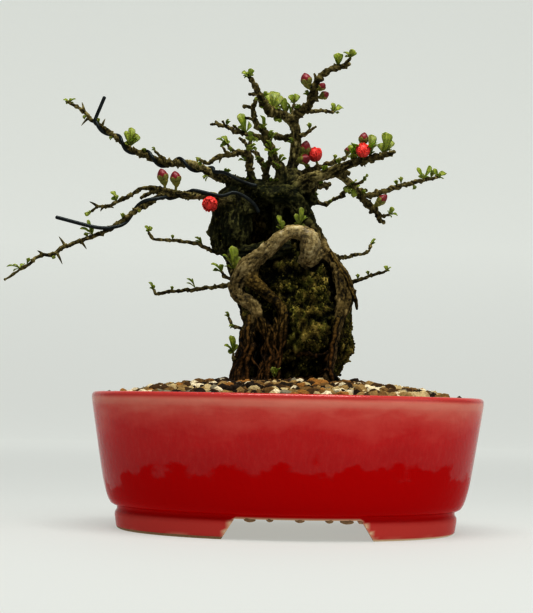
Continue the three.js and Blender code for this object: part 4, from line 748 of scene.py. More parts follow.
BLOOMS = named("""
bloom_left: low_left 0.13 -0.5 -5.5 -4 3.9;
bloom_right: front_right_upper 0.5 -2 -6 6 3.8;
bloom_upper: front_right 0.72 -0.5 -5.5 4 3.6
""")
print("tufts:", len(TUFTS), "leaf buds:", len(LEAF_BUDS + FRESH), "buds:", len(BUDS), "blooms:", len(BLOOMS))

# %% [markdown]
# ## Trunk and roots
# On the real tree the trunk, the loop and the roots have grown into each other. Tubes for all of them are
# laid over one another and remeshed with small voxels, which welds them into one skin with soft crotches.
# Smoothing takes something off the thin limbs, so their radius gets it back beforehand.

# %% Tubes that become the trunk and roots
THIN_ROOTS = ["right_hanging", "front_fine"]
THICK = 1.8
STEP = 1.5
VOXEL = 0.8
LEAN = 0.97
STOUT = {"leader": 1.22, "apex_right": 1.35, "apex_left": 1.25, "front_right": 1.12, "mid_left": 1.12}
LOST = 0.5
# Burls where the branches leave the top of the trunk: x, y, z, radius.
BURLS = [
    (-1, -3, 187, 6.6), (-7, -4, 185, 6.6), (4, -4, 184, 6), (-13, -4, 185, 5), (-18, -7, 184.5, 4.8),
    (9, -8, 184, 4.8), (-2.5, -2, 193, 5), (-24, -9, 183, 4.8), (1, -8, 181, 5), (-11, -11, 180, 4.4),
    (-6, -3, 191, 4.6), (2, -3, 191, 4.4), (-28, -12, 176, 4.5), (10, -4, 178, 4.2), (-34, -11, 169, 4.6),
    (-37, -9, 158, 5), (-3, -9, 176, 4.4), (-22, -14, 171, 4.4), (-31, -14, 160, 4),
]


def thick_part(name):
    """The part of a limb's smooth path that belongs to the welded wood."""
    path = smooth_path(LIMBS[name], STEP)
    thin = np.nonzero(path[:, 3] < THICK)[0]
    return path if name in TRUNK or name in ROOTS or not len(thin) else path[: thin[0]]


def skin_radius(name, path):
    """A limb's radius, with what smoothing takes off thin limbs given back."""
    share = LEAN if name in ROOTS and path[0, 1] < -8 else STOUT.get(name, 1)
    return path[:, 3] * share + LOST * np.clip((4.5 - path[:, 3]) / 2, 0, 1)


welded = {name: thick_part(name) for name in LIMBS if name not in THIN_ROOTS}
welded = {name: path for name, path in welded.items() if len(path) > 3}
tubes = [tube(path[:, :3], skin_radius(name, path), 20) for name, path in welded.items()]
for x, y, z, size in BURLS:
    spine = np.array([[x, y, z - size * 0.5], [x + 0.6, y, z], [x, y + 0.5, z + size * 0.5]])
    tubes.append(tube(spine, np.array([0.72, 0.95, 0.72]) * size, 14))
trunk = piece("trunk_and_roots", *weave(tubes), BARK)
remesh = trunk.modifiers.new("remesh", "REMESH")
remesh.mode = "VOXEL"
remesh.voxel_size = VOXEL * MM
soften = trunk.modifiers.new("soften", "SMOOTH")
soften.factor = 0.5
soften.iterations = 4
plain(trunk)
print("welded limbs:", len(welded), "faces:", len(trunk.data.polygons))

# %% [markdown]
# Each point of the skin asks which limb it belongs to: the one whose bark is nearest. From that come the
# fibres' direction and the colour, so a pale root stays pale where it crosses a dark one.

# %% Which limb each point belongs to
TINTS = ("pale", "root", "twig")
BLEND = 0.7


def tints(name, path):
    """How pale, how root-like and how twig-like a limb is along its path."""
    x, z = path[:, 0], path[:, 2]
    pale = np.full(len(path), 0.12 if name in ("right", "right_outer") else 0.0)
    if name in ("loop", "loop_neck"):
        over = np.interp(x, [-28, -14, -4, 2, 9], [0.26, 0.36, 0.8, 1.0, 0.7])
        over = over * np.where(x > 2, np.interp(z, [143, 152], [0.55, 1]), 1)
        pale = np.where(z > 126, over, np.interp(z, [95, 126], [0.0, 0.28]))
    root = np.full(len(path), 1.0 if name in ROOTS else 0.15)
    twig = np.full(len(path), 0.8 if name in BRANCHES else 0.0)
    at_base = (x < 5) & (x > -30)
    twig *= np.where(at_base, np.interp(z, [188, 206], [0.1, 1]), 1)
    return np.column_stack([pale, root, twig])


bark_stations = np.vstack(list(welded.values()))
station_tints = np.vstack([tints(name, path) for name, path in welded.items()])
frames = [ring_frames(path[:, :3]) for path in welded.values()]
station_normals = np.vstack([normals for _, normals, _ in frames])
station_binormals = np.vstack([binormals for _, _, binormals in frames])
station_run = np.concatenate([np.arange(len(path)) * STEP + 50 * i for i, path in enumerate(welded.values())])


def belongs(points):
    """For each point, its nearest station and the blended tints of those near it."""
    nearest, blended = [], []
    for start in range(0, len(points), 2000):
        some = points[start : start + 2000]
        away = np.linalg.norm(some[:, None] - bark_stations[None, :, :3], axis=2) - bark_stations[:, 3]
        nearest.append(away.argmin(axis=1))
        weight = np.exp(-(away - away.min(axis=1)[:, None]) / BLEND)
        blended.append(weight @ station_tints / weight.sum(axis=1)[:, None])
    return np.concatenate(nearest), np.vstack(blended)


skin = mesh_points(trunk.data)
owner, blended = belongs(skin)
print("mean tints:", dict(zip(TINTS, blended.mean(axis=0).round(3))))

# %% [markdown]
# The skin is then pushed in and out: slow lumps, knobs, long fibres that follow each limb, and fine grain.
# Pale, worn wood is calmer than the rest. The same numbers become the relief that the bark's colour follows,
# with painted shade in its low places.

# %% Lumps, fibres and grain
beside = skin - bark_stations[owner, :3]
radius = bark_stations[owner, 3]
sideways = (beside * station_binormals[owner]).sum(axis=1)
turn = np.arctan2(sideways, (beside * station_normals[owner]).sum(axis=1))
around = radius / 1.5
fibre_place = np.column_stack([np.cos(turn) * around, np.sin(turn) * around, station_run[owner] / 9])
fibres = 1 - 3 * np.abs(roughness_of(fibre_place, 1.0, 3))
lumps = roughness_of(skin, 8, 3)
knobs = np.maximum(0, roughness_of(skin, 4.5, 2)) ** 1.5
grain = roughness_of(skin, 1.6, 3)
deep = np.clip(radius / 6, 0.35, 1)
old = 1 - 0.5 * blended[:, 0]
calm = 1 - 0.45 * blended[:, 0]
push = calm * (1.3 * deep * lumps + 1.8 * deep * knobs + 0.75 * deep * old * fibres + 0.3 * grain)
push -= push.mean() + 0.3
skin = skin + mesh_normals(trunk.data) * push[:, None]
trunk.data.vertices.foreach_set("co", (skin * MM + HOME).ravel())
trunk.data.update()
relief = 0.5 + calm * (0.24 * lumps + 0.2 * fibres * old + 0.3 * grain + 0.25 * knobs)
set_attributes(trunk.data, relief=relief, **dict(zip(TINTS, blended.T)))
trunk.data.shade_smooth()
settle(trunk, "bark", "tree_wood")

# %% [markdown]
# ## Branches and twigs
# Twigs are too thin for voxels, so they stay tubes. Quince twigs are knobbly: every few millimetres there is
# a swollen node, and the shoot changes its direction slightly there. Cut ends are blunt.

# %% Twigs and thorns
rng = np.random.default_rng(12)
TWIG_STEP = 0.75
SLENDER = 1.06
WANDER = 0.6
WARTS = 0.42


def twig(name, sides):
    """A knobbly tube along the thin part of a limb, or None where it has none."""
    path = smooth_path(LIMBS[name], TWIG_STEP)
    thin = np.nonzero(path[:, 3] < THICK)[0]
    if not len(thin):
        return None
    path = path[max(0, thin[0] - 3) if name in welded else 0 :]
    run = np.arange(len(path)) * TWIG_STEP
    seed = sum(map(ord, name))
    swell = np.array([rough((seed, 0, s), 2.4, 2) for s in run])
    nodes = np.maximum(0, np.sin(run * 1.15 + seed)) ** 8
    radii = path[:, 3] * SLENDER * STOUT.get(name, 1) * (1 + 0.3 * swell + 0.5 * nodes)
    shift = np.array([[rough((seed + k * 9, 3, s), 4, 2) for k in range(3)] for s in run])
    middle = path[:, :3] + WANDER * shift * np.minimum(1, run / 3)[:, None]
    points, faces = tube(middle, radii, sides)
    centre = np.vstack([np.repeat(middle, sides, axis=0), points[-2:]])
    return points + (points - centre) * WARTS * roughness_of(points, 1.7, 2)[:, None], faces


def thorn(limb, along, *offset):
    base, _, _ = on_limb(limb, along)
    steps = np.linspace(0, 1, 8)
    path = base + steps[:, None] * np.array(offset) + np.sin(steps * math.pi)[:, None] * np.array([0, 0, 0.25])
    return tube(path, 0.85 * (1 - steps) ** 0.8 + 0.07, 8)


twigs = {name: twig(name, 12 if LIMBS[name][1][3] > 1.5 else 9) for name in list(BRANCHES) + THIN_ROOTS}
twigs = {name: made for name, made in twigs.items() if made}
parts = list(twigs.values()) + [thorn(*row) for row in THORNS]
is_root = np.repeat(
    [name in THIN_ROOTS for name in twigs] + [False] * len(THORNS), [len(points) for points, _ in parts])
points, faces = weave(parts)
branches = piece("branches", points, faces, BARK)
set_attributes(branches.data, pale=np.zeros(len(points)), root=is_root, twig=~is_root,
               relief=0.5 + 0.4 * roughness_of(points, 1.7, 3))
settle(branches, "bark", "tree_wood")

# %% [markdown]
# ## Leaves
# A leaf is a spoon-shaped sheet: a narrow foot, widest near the end, folded along its rib, arched, with a
# slightly wavy edge. It is given thickness and closed, so it has no bare back.

# %% A closed sheet and a leaf
LEAF_THICKNESS = 0.24


def sheet(grid, thickness):
    """A closed sheet from a grid of points, with its place across and along kept in two more columns."""
    rows, columns = grid.shape[:2]
    normal = np.cross(np.gradient(grid, axis=0), np.gradient(grid, axis=1))
    normal /= np.maximum(1e-9, np.linalg.norm(normal, axis=2))[:, :, None]
    across, along = np.meshgrid(np.linspace(0, 1, columns), np.linspace(0, 1, rows))
    layers = [
        np.dstack([grid + side * normal * thickness / 2, across, along]).reshape(-1, 5) for side in (1, -1)
    ]
    count = rows * columns
    faces = []
    for i in range(rows - 1):
        for a in range(i * columns, (i + 1) * columns - 1):
            b = a + columns
            faces += [(a, b, b + 1, a + 1), (count + a + 1, count + b + 1, count + b, count + a)]
    left = [i * columns for i in range(rows)]
    end = [(rows - 1) * columns + j for j in range(1, columns)]
    right = [i * columns + columns - 1 for i in range(rows - 2, -1, -1)]
    foot = list(range(columns - 2, 0, -1))
    rim = left + end + right + foot
    faces += [(count + p, count + q, q, p) for p, q in zip(rim, rim[1:] + rim[:1])]
    return np.vstack(layers), faces


def with_uv(name, parts, *materials):
    """A piece of several parts whose points carry their UV in two more columns."""
    points, faces = weave(parts)
    made = piece(name, points[:, :3], faces, *materials)
    layer = made.data.uv_layers.new(name="UVMap")
    corners = np.empty(len(made.data.loops), dtype=np.int32)
    made.data.loops.foreach_get("vertex_index", corners)
    layer.data.foreach_set("uv", points[corners, 3:5].ravel())
    return made


def turned(vector, axis, angle):
    return np.array(Matrix.Rotation(angle, 3, Vector(axis)) @ Vector(vector))


def leaf(base, tip, width, rows=13, roll=0.0, arch=0.12, fold=0.32):
    reach = tip - base
    length = np.linalg.norm(reach)
    along = reach / length
    sky = np.array([0.3, -1, 0.2]) if abs(along[2]) > 0.85 else np.array([0, -0.45, 1])
    side = turned(unit(np.cross(along, sky)), along, roll)
    face = np.cross(side, along)
    t = np.linspace(0, 1, rows)[:, None]
    v = np.linspace(-1, 1, 7)[None, :]
    s = np.clip((t - 0.1) / 0.9, 0, 1)
    half = width / 2 * (0.1 + 0.9 * s**0.95 * (1 - s**5) ** 0.5 / 0.8)
    phase = length * 3 + width
    wave = 0.05 * width * np.sin(t * 11 + phase + np.sign(v)) * v**2
    lift = np.abs(v) ** 1.4 * half * fold + arch * length * np.sin(t * math.pi * 0.8) - 0.07 * length * t**4
    place = along * (t * length)[:, :, None] + side * (v * half)[:, :, None]
    return sheet(base + place + face * (lift + wave)[:, :, None], LEAF_THICKNESS)


print("a leaf has", len(leaf(np.zeros(3), np.array([0, 0, 9.0]), 3.0)[1]), "faces")

# %% [markdown]
# A tuft opens like a rosette, so that small younger leaves stand between the large ones. Their lean and size
# are drawn at random, and the large ones keep the tips that the construction model gives them.

# %% Tufts
LEAF_WIDTH = 1.5
AT_TIP = 0.97


def foot_of(limb, along, lean):
    """Where a tuft or bud leaves the bark."""
    point, direction, radius = on_limb(limb, along)
    if along > AT_TIP:
        return point
    return point + unit(lean - lean.dot(direction) * direction) * radius * 0.7


def tuft(limb, along, blades):
    point, _, _ = on_limb(limb, along)
    foot = foot_of(limb, along, np.sum([row[:3] for row in blades], axis=0))
    made = []
    for *offset, width in blades:
        width *= LEAF_WIDTH
        tip = point + np.array(offset)
        made.append(leaf(foot, tip, width, roll=rng.uniform(-0.25, 0.25)))
        reach = tip - foot
        for spread in (rng.uniform(0.3, 0.7), -rng.uniform(0.3, 0.7)):
            axis = unit(np.cross(reach, [rng.uniform(-0.3, 0.3), -1, rng.uniform(-0.3, 0.3)]))
            small = turned(turned(reach, [0, -1, 0], spread), axis, rng.uniform(-0.6, 0.4))
            small = foot + small * rng.uniform(0.4, 0.66)
            made.append(leaf(foot, small, width * rng.uniform(0.6, 0.8), 9, roll=rng.uniform(-0.8, 0.8)))
    return made


for name, (place, *blades) in TUFTS.items():
    settle(with_uv(name + "_fine", tuft(*place, blades), YOUNG_LEAF), "leaf", name)

# %% [markdown]
# The smallest leaf buds are still folded: one narrow leaf and two shorter ones beside it. A few single leaves
# have already opened at the tips and turn their faces to the light.

# %% Leaf buds and single leaves
def leaf_bud(limb, along, *row):
    point, _, _ = on_limb(limb, along)
    reach, width = np.array(row[:3]), row[3]
    foot = foot_of(limb, along, reach)
    made = [leaf(foot, point + reach, width, 9, fold=0.9)]
    for spread in (0.35, -0.4):
        small = turned(reach, [0, -1, 0], spread) * 0.75
        made.append(leaf(foot, foot + small, width * 0.7, 9, roll=spread * 2, fold=0.7))
    return made


def open_leaf(limb, along, *row):
    point, _, _ = on_limb(limb, along)
    reach = np.array(row[:3])
    return leaf(foot_of(limb, along, reach), point + reach, row[3], 11, fold=0.3)


folded = [blade for row in LEAF_BUDS + FRESH for blade in leaf_bud(*row)]
settle(with_uv("small_leaf_buds", folded, YOUNG_LEAF), "leaf", "tree_wood")
settle(with_uv("single_leaves", [open_leaf(*row) for row in SINGLE], YOUNG_LEAF), "leaf", "tree_wood")

# %% [markdown]
# ## Buds and blooms
# A closed bud is an egg of five petals that overlap like shingles, held by a green cup with five lobes. Both
# are sheets on a surface round the bud's own axis, with a solid core inside.

# %% Buds
PETALS = 5


def across(way):
    """Two directions at right angles to a way."""
    side = unit(np.cross(way, [0.3, 1, 0.2]))
    return side, np.cross(way, side)


def egg_radius(share, radius):
    """The radius of a bud at a share of its height."""
    return radius * 1.04 * np.sin(math.pi * np.clip(share, 0, 1) ** 0.85) ** 0.62


def shell(foot, way, heights, angles, radii):
    """Grid points on a surface round an axis."""
    side, other = across(way)
    ring = np.cos(angles)[:, :, None] * side + np.sin(angles)[:, :, None] * other
    return foot + way * heights[:, :, None] + ring * radii[:, :, None]


def one_tone(made, tone):
    """A tube's points with one UV place for all of them."""
    points, faces = made
    return np.hstack([points, np.full((len(points), 2), tone)]), faces


def bud_axis(limb, along, *row):
    """A bud's foot, its direction, its length and its radius."""
    point, _, _ = on_limb(limb, along)
    foot, tip = point + np.array(row[:3]), point + np.array(row[3:6])
    length = np.linalg.norm(tip - foot)
    return foot, (tip - foot) / length, length, row[6]


def bud(foot, way, length, radius):
    core = np.linspace(0.03, 0.97, 10)
    made = [one_tone(tube(foot + core[:, None] * way * length, egg_radius(core, radius) * 0.93, 14), 0.5)]
    u = np.linspace(0.03, 0.985, 11)[:, None]
    v = np.linspace(-1, 1, 9)[None, :]
    for k in range(PETALS):
        angles = k * math.pi * 4 / PETALS + v * 1.15 * (1 - 0.25 * u**3) + 0.7 * u
        lift = 1.0 + 0.035 * (v + 1) + 0.015 * k + 0.02 * np.sin(u * 9 + k)
        made.append(sheet(shell(foot, way, u * length + 0 * v, angles, egg_radius(u, radius) * lift), 0.16))
    return made


def cup(foot, way, length, radius):
    """The green cup: five lobes that hug the lower part of the bud, and a short bulge under them."""
    steps = np.linspace(-0.25, 0.14, 7)
    radii = np.interp(steps, [-0.25, -0.12, 0.0, 0.14], [0.75, 0.6 * radius, 0.86 * radius, 0.95 * radius])
    made = [one_tone(tube(foot + steps[:, None] * way * length, radii, 14), 0.3)]
    u = np.linspace(0, 1, 8)[:, None]
    v = np.linspace(-1, 1, 7)[None, :]
    share = 0.02 + u * 0.54 + 0 * v
    radii = egg_radius(share, radius) * 1.1 + 0.25 - 0.1 * u**4
    for k in range(PETALS):
        angles = k * math.pi * 2 / PETALS + v * 0.7 * (1 - u**3 * 0.7)
        made.append(sheet(shell(foot, way, share * length, angles, radii), 0.2))
    return made


axes = {name: bud_axis(*row) for name, (row,) in BUDS.items()}
for name, axis in axes.items():
    settle(with_uv(name + "_petals", bud(*axis), CRIMSON), "bud", name)
cups = [lobe for axis in axes.values() for lobe in cup(*axis)]
settle(with_uv("bud_cups", cups, CUP_GREEN), "leaf", "tree_wood")

# %% [markdown]
# An open bloom has four rounds of cupped petals with ruffled rims, the outer ones wider and more open, round
# a heart with a tuft of stamens.

# %% Blooms
# Each round: petals, size, how far they close over the heart, turn.
PETAL_ROUNDS = [(5, 1.0, 0.95, 0.0), (6, 0.93, 0.62, 0.5), (5, 0.84, 0.36, 0.2), (4, 0.7, 0.12, 0.6)]
PETAL_FOOT = 2.65
STAMEN_COUNT = 8


def bloom(middle, way, radius):
    u = np.linspace(0, 1, 11)[:, None]
    v = np.linspace(-1, 1, 9)[None, :]
    core = np.linspace(-0.78, 0.74, 9)
    heart = tube(middle + core[:, None] * way * radius, radius * 0.82 * np.sqrt(1 - core**2), 14)
    made = [one_tone(heart, 0.75)]
    for count, reach, end, twist in PETAL_ROUNDS:
        polar = PETAL_FOOT + (end - PETAL_FOOT) * u * (1 - 0.12 * v**2)
        width = 3.6 / count * np.sin(math.pi * np.clip(0.12 + 0.68 * u, 0, 1)) ** 0.8
        for k in range(count):
            angles = (k + twist) / count * math.pi * 2 + v * width
            flare = 1 + 0.14 * u**4 + 0.11 * np.sin(v * 8 + k * 2 + reach * 9) * u**2
            size = radius * reach * flare * (1 - 0.06 * v**2)
            made.append(sheet(shell(middle, way, np.cos(polar) * size, angles, np.sin(polar) * size), 0.18))
    return made


def stamens(middle, way, radius):
    side, other = across(way)
    steps = np.linspace(0, 1, 6)
    made = []
    for k in range(STAMEN_COUNT):
        angle = k * 2.4
        lean = side * math.cos(angle) + other * math.sin(angle)
        path = middle + steps[:, None] * (way * radius * 0.55 + lean * radius * 0.12 * (k % 4 + 1) / 4)
        made.append(tube(path, np.where(steps > 0.75, 0.26, 0.09), 6))
    return made


def stalk(limb, along, offset, clear):
    """The short stalk between a twig and a flower."""
    base, _, _ = on_limb(limb, along)
    steps = np.linspace(0, 1 - clear / np.linalg.norm(offset), 7)
    return one_tone(tube(base + steps[:, None] * offset, 0.62 + 0.25 * steps**2, 10), 0.3)


hearts = {name: (on_limb(*row[:2])[0] + row[2:5], unit(row[2:5]), row[5]) for name, (row,) in BLOOMS.items()}
for name, heart in hearts.items():
    settle(with_uv(name + "_petals", bloom(*heart), CORAL), "petal", name)
threads = [thread for heart in hearts.values() for thread in stamens(*heart)]
settle(piece("stamens", *weave(threads), STAMEN), "petal", *BLOOMS)
stalks = [stalk(*row[:2], np.array(row[2:5]), 0.5) for (row,) in BUDS.values()]
stalks += [stalk(*row[:2], np.array(row[2:5]), row[5] * 0.8) for (row,) in BLOOMS.values()]
settle(with_uv("flower_stalks", stalks, CUP_GREEN), "leaf", "tree_wood")

# %% [markdown]
# ## Training wire
# The wire keeps its thickness and its path: a free end that sticks out, turns round the branch, and a tail
# that lies against the trunk. It is a rounder tube on the same helix as in the construction model.

# %% Wires
WIRE_RADIUS = 0.95
TURN_POINTS = 8
FIRST_ANGLE = -1.1
# Each wire: limb, where its turns begin and end along the limb, how many, and the points of its two ends.
WIRES = [
    ("wire_high", "high_left", 0.8, 0.17, 4, [[-105, 17.5, 236], [-110, 15.8, 222]],
     [[-36, -9.5, 190.5], [-29, -13, 186.5], [-23, -15, 184], [-19, -15.5, 183]]),
    ("wire_low", "low_left", 0.57, 0.19, 1.9, [[-123, -31, 162], [-104, -30.5, 157.5]],
     [[-38, -20.6, 176.5], [-31, -19.5, 178.5], [-25, -18.6, 176.5], [-20, -18.4, 172.5],
      [-17.5, -18.4, 168.5]]),
]


def wire(limb, first, last, turns, free, tail):
    wound = []
    count = round(turns * TURN_POINTS)
    for i in range(count + 1):
        point, direction, radius = on_limb(limb, first + (last - first) * i / count)
        up = unit(np.array([0, 0, 1]) - direction * direction[2])
        back = np.cross(direction, up)
        angle = FIRST_ANGLE - i / TURN_POINTS * 2 * math.pi
        out = radius * 0.95 + WIRE_RADIUS * 0.8
        wound.append(point + up * math.cos(angle) * out + back * math.sin(angle) * out)
    return tube(smooth_path([*free, *wound, *tail], 0.6), WIRE_RADIUS, 14)


for name, *row in WIRES:
    settle(piece(name + "_round", *wire(*row), DARK_WIRE), "wire", name)

# %% [markdown]
# ## The rock
# A ball gets the rock's form from the same rules as the construction model: a boxy egg with knobs. Bosses
# that stand out of its front and hollows between them follow, and then crags and grit from noise at three
# sizes. Its foot runs down into the soil.

# %% Rock
ROCK_MIDDLE = np.array([4.0, 0.0, 108.0])
ROCK_HALF = np.array([27.0, 23.5, 46.0])
# Knobs: the way to each, its height in mm and how sharply it falls off.
KNOBS = np.array([
    [0.45, -0.8, 0.3, 4, 14], [0.55, -0.75, 0.0, 4.5, 18], [-0.15, -0.95, 0.1, 4, 22], [0.85, -0.3, -0.2, 4, 12],
    [0.2, -0.9, -0.25, 3.5, 16], [0.9, 0.4, 0.0, 3.5, 12], [0.3, 0.9, 0.2, 4, 12], [-0.5, 0.8, -0.2, 3.5, 12],
    [-0.9, 0.1, 0.3, 3, 10], [0.65, -0.55, -0.5, 3.5, 14], [-0.6, -0.5, 0.6, 3, 10], [0.1, 0.9, -0.5, 3.5, 14],
])
# Bosses and hollows: x, y, z, height in mm, size in mm.
BOSSES = np.array([
    [13.5, -25, 129.5, 4.2, 5], [-5, -25, 132, 2.6, 4.5], [7, -26, 113, 3.2, 4.5], [15, -24, 104, 2.8, 4],
    [2, -26, 99, 2.2, 4], [21, -18, 114, 2.5, 4], [-3, -23, 141, -6, 7], [-13, -20, 124, -3.5, 5],
    [4, -25, 123, -3.5, 3.2], [-12, -24, 108, -2.5, 6], [12, -25, 119, -3, 3], [8, -25, 90, -2.5, 5],
])


def ball(subdivisions):
    """Points on a ball of radius 1, and its triangles."""
    mesh = bpy.data.meshes.new("ball")
    shape = bmesh.new()
    bmesh.ops.create_icosphere(shape, subdivisions=subdivisions, radius=1)
    shape.to_mesh(mesh)
    shape.free()
    ways = vectors(mesh.vertices, "co")
    faces = [tuple(face.vertices) for face in mesh.polygons]
    bpy.data.meshes.remove(mesh)
    return ways, faces


def cells_of(points, size):
    """Rounded lumps about `size` millimetres wide with sharp creases between them, from 0 to 1."""
    spread = [noise.voronoi(Vector(point) / size)[0] for point in points]
    return np.array([min(1.0, 1.7 * (far - near)) for near, far, *_ in spread])


ways, faces = ball(6)
ways /= np.linalg.norm(ways, axis=1)[:, None]
x, y, z = ways.T
grow = 1 + 0.18 * ((ways**4).sum(axis=1) ** -0.25 - 1)
heads = KNOBS[:, :3] / np.linalg.norm(KNOBS[:, :3], axis=1)[:, None]
knobs = (KNOBS[:, 3] * np.exp(KNOBS[:, 4] * (ways @ heads.T - 1))).sum(axis=1)
uneven = 1.1 * np.sin(x * 9 + z * 7) * np.sin(y * 8 - z * 9 + 1)
height = z * ROCK_HALF[2] * grow
low = np.minimum(0, height + 6) / 34
right = x * (ROCK_HALF[0] * grow + knobs + uneven) - 11 * low**2
back = y * (ROCK_HALF[1] * grow + knobs + uneven)
form = np.column_stack([right, back, height]) + ROCK_MIDDLE
broad = roughness_of(form, 11, 3)
ledges = 1 - 2.4 * np.abs(roughness_of(form * [1, 1, 1.5], 7, 3))
crumbs = roughness_of(form, 2.6, 3)
fine = roughness_of(form, 1.2, 2)
boss = sum(
    push * np.exp(-(((form - [cx, cy, cz]) ** 2).sum(axis=1)) / (2 * size**2))
    for cx, cy, cz, push, size in BOSSES
)
warped = form + 2.2 * np.column_stack([crumbs, fine, broad])
lobes = 0.65 * cells_of(warped, 9) + 0.45 * cells_of(warped + 40, 4.5)
front = np.clip(np.abs(y) - 0.25, 0, 1)
crags = 2.0 * broad + 1.2 * ledges + 3.4 * lobes + 0.9 * crumbs + 0.45 * fine + boss - 2.6 - 1.8 * front
# This relief sets the rock's painted shade and highlight: dark in the crevices, light on the lumps.
relief = 0.26 + 0.14 * broad + 0.1 * ledges + 0.42 * lobes + 0.26 * crumbs + 0.1 * fine + 0.04 * boss
rock = piece("craggy_rock", form + ways * crags[:, None], faces, ROCK_FACE)
set_attributes(rock.data, relief=relief)
settle(rock, "rock", "rock")

# %% [markdown]
# ## Soil
# The soil is a closed dome that fills the bowl, a little lower at the pot's two ends. It is revolved and
# squeezed into the bowl's oval, and its top is made slightly uneven.

# %% Soil dome
BOWL = [(85.2, 18.3), (89.2, 22.3), (96.2, 56.0), (98.1, 69.0)]
BOWL_RATIO = 0.7563
SOIL_EDGE = 70.2
SOIL_RISE = 9.6
SOIL_HALF = (98.5, 74.5)
SINK = 1.6
DIP = 2.1


def soil_height(out):
    """The soil's height at a share of the way out to the rim."""
    return SOIL_EDGE + SOIL_RISE * (1 - out**1.5)


def side_dip(x):
    """How far the bed sinks towards the pot's two ends."""
    share = np.clip((np.abs(x - 1) - 70) / 18, 0, 1)
    return DIP * share * share * (3 - 2 * share)


def revolve(profile, segments):
    """A closed round solid from (radius, height) points that start and end on the axis."""
    angles = np.arange(segments) / segments * 2 * math.pi
    around = np.column_stack([np.cos(angles), np.sin(angles)])
    rings = [np.column_stack([r * around, np.full(segments, z)]) for r, z in profile[1:-1]]
    points = np.vstack(rings + [[0, 0, profile[0][1]], [0, 0, profile[-1][1]]])
    return points, rings_to_faces(len(rings), segments)


dome = [(97.6 * s, soil_height(97.6 * s / SOIL_HALF[0]) - SINK) for s in np.linspace(1, 0, 40)]
points, faces = revolve([(0, BOWL[0][1])] + BOWL + dome, 96)
points[:, 1] *= BOWL_RATIO
top = points[:, 2] > 66
points[top, 2] += 0.9 * roughness_of(points[top], 9, 3) - side_dip(points[top, 0])
soil = settle(piece("soil_bed", points, faces, EARTH), "gravel", "soil")

# %% [markdown]
# ## Sheltered places
# Behind the roots and under the loop the bark and the stone get painted shade that is almost black. Each point
# of both sends out a few rays, and the share that soon meets wood, rock or soil is kept on the mesh for the
# finishes.

# %% How sheltered each point is
SHELTER_REACH = 12
SHELTER_RAYS = 10
RAY_START = 0.4 * MM
RAY_TURN = 2.4


def tree_of(made_ones):
    """One search tree over several objects."""
    points, faces, start = [], [], 0
    for made in made_ones:
        points.extend(vertex.co for vertex in made.data.vertices)
        faces.extend([index + start for index in polygon.vertices] for polygon in made.data.polygons)
        start = len(points)
    return BVHTree.FromPolygons(points, faces)


def shelter(made, around):
    normals = mesh_normals(made.data)
    helper = np.where(np.abs(normals[:, 2:]) > 0.9, [[1.0, 0, 0]], [[0, 0, 1.0]])
    side = np.cross(normals, helper)
    side /= np.linalg.norm(side, axis=1)[:, None]
    third = np.cross(normals, side)
    starts = [vertex.co.copy() for vertex in made.data.vertices]
    hits = np.zeros(len(starts))
    for ray in range(SHELTER_RAYS):
        low = (ray + 0.5) / SHELTER_RAYS
        turn = ray * RAY_TURN
        ways = normals * math.sqrt(1 - low) + (side * math.cos(turn) + third * math.sin(turn)) * math.sqrt(low)
        for index, (start, way) in enumerate(zip(starts, ways.tolist())):
            way = Vector(way)
            if around.ray_cast(start + way * RAY_START, way, SHELTER_REACH * MM)[0]:
                hits[index] += 1
    set_attributes(made.data, shelter=hits / SHELTER_RAYS)
    print(made.name, "sheltered share", round(float(hits.mean() / SHELTER_RAYS), 3))


around = tree_of([trunk, rock, soil])
for made in (trunk, rock):
    shelter(made, around)

# %% [markdown]
# ## Fine roots
# Thin reddish roots run down the front of the thick ones and bridge the gaps between them. Each is drawn as
# a line seen from the front, and a ray for each of its points finds the wood or stone it lies on.

# %% Roots that lie on what is behind them
# Each root: radius, then how far right and how high its points are.
FINE_ROOTS = listed("""
1.3 -12.5 111.4 -10.8 105.6 -11.2 99.3 -9.5 92.1 -12 86.8 -10.4 77,
1.4 -15.7 111.8 -13.5 106.6 -14.4 99.3 -16.3 91.9 -17.2 84.6 -18.7 77,
1.5 -21.5 113.3 -21.8 105.4 -21.9 99.1 -24.2 91.8 -25.6 84.4 -27 76,
1.3 -3.1 111 -4.5 103.7 -4.9 96.3 -6.4 91.1 -10 87.9 -11.9 77,
1.2 -1.9 114.2 -2.5 105.8 -2.9 99.5 -4.4 95.3 -4.6 89 -6.2 77,
1.1 -10.9 107.7 -8.2 103.6 -7.5 97.3 -8.5 92.1 -5.8 86.9 -4.1 77,
1.6 -16.6 106.6 -19 97.1 -22 88.7 -20.8 77,
1.4 -24.5 106.4 -25.4 99.1 -23.1 92.8 -26.7 86.5 -28.6 76,
1.5 25.1 112.7 22.7 100 20.2 92.7 17.8 85.3 13.5 77,
1.3 22.8 97.9 21.3 90.6 21.4 85.4 23.6 77,
1 20.9 148.3 24.7 141.6 29.2 134.8 32 128.5 34.2 123,
0.9 -17.8 111.8 -15.6 105.5 -12.3 100.9 -13.2 95.1,
0.8 -8 112 -6.2 106 -8.4 99 -6 93 -7.6 86 -8 77,
0.8 -19 104 -16.8 98 -19.6 91 -15 85 -14.2 77,
0.9 -12 100 -14.6 94 -12.6 88 -15.4 82 -16.2 76,
1 21.5 88 17 84 10.5 81.5 6.5 79,
0.9 20 86 24 82 27.5 79
""")
FRONT = -70
RAY_REACH = 60
ROOT_STEP = 0.9
SPAN = 3


def near_ones(values):
    """The values within SPAN points of each, one row for each."""
    padded = np.pad(values, SPAN, mode="edge")
    return np.array([padded[i : i + 2 * SPAN + 1] for i in range(len(values))])


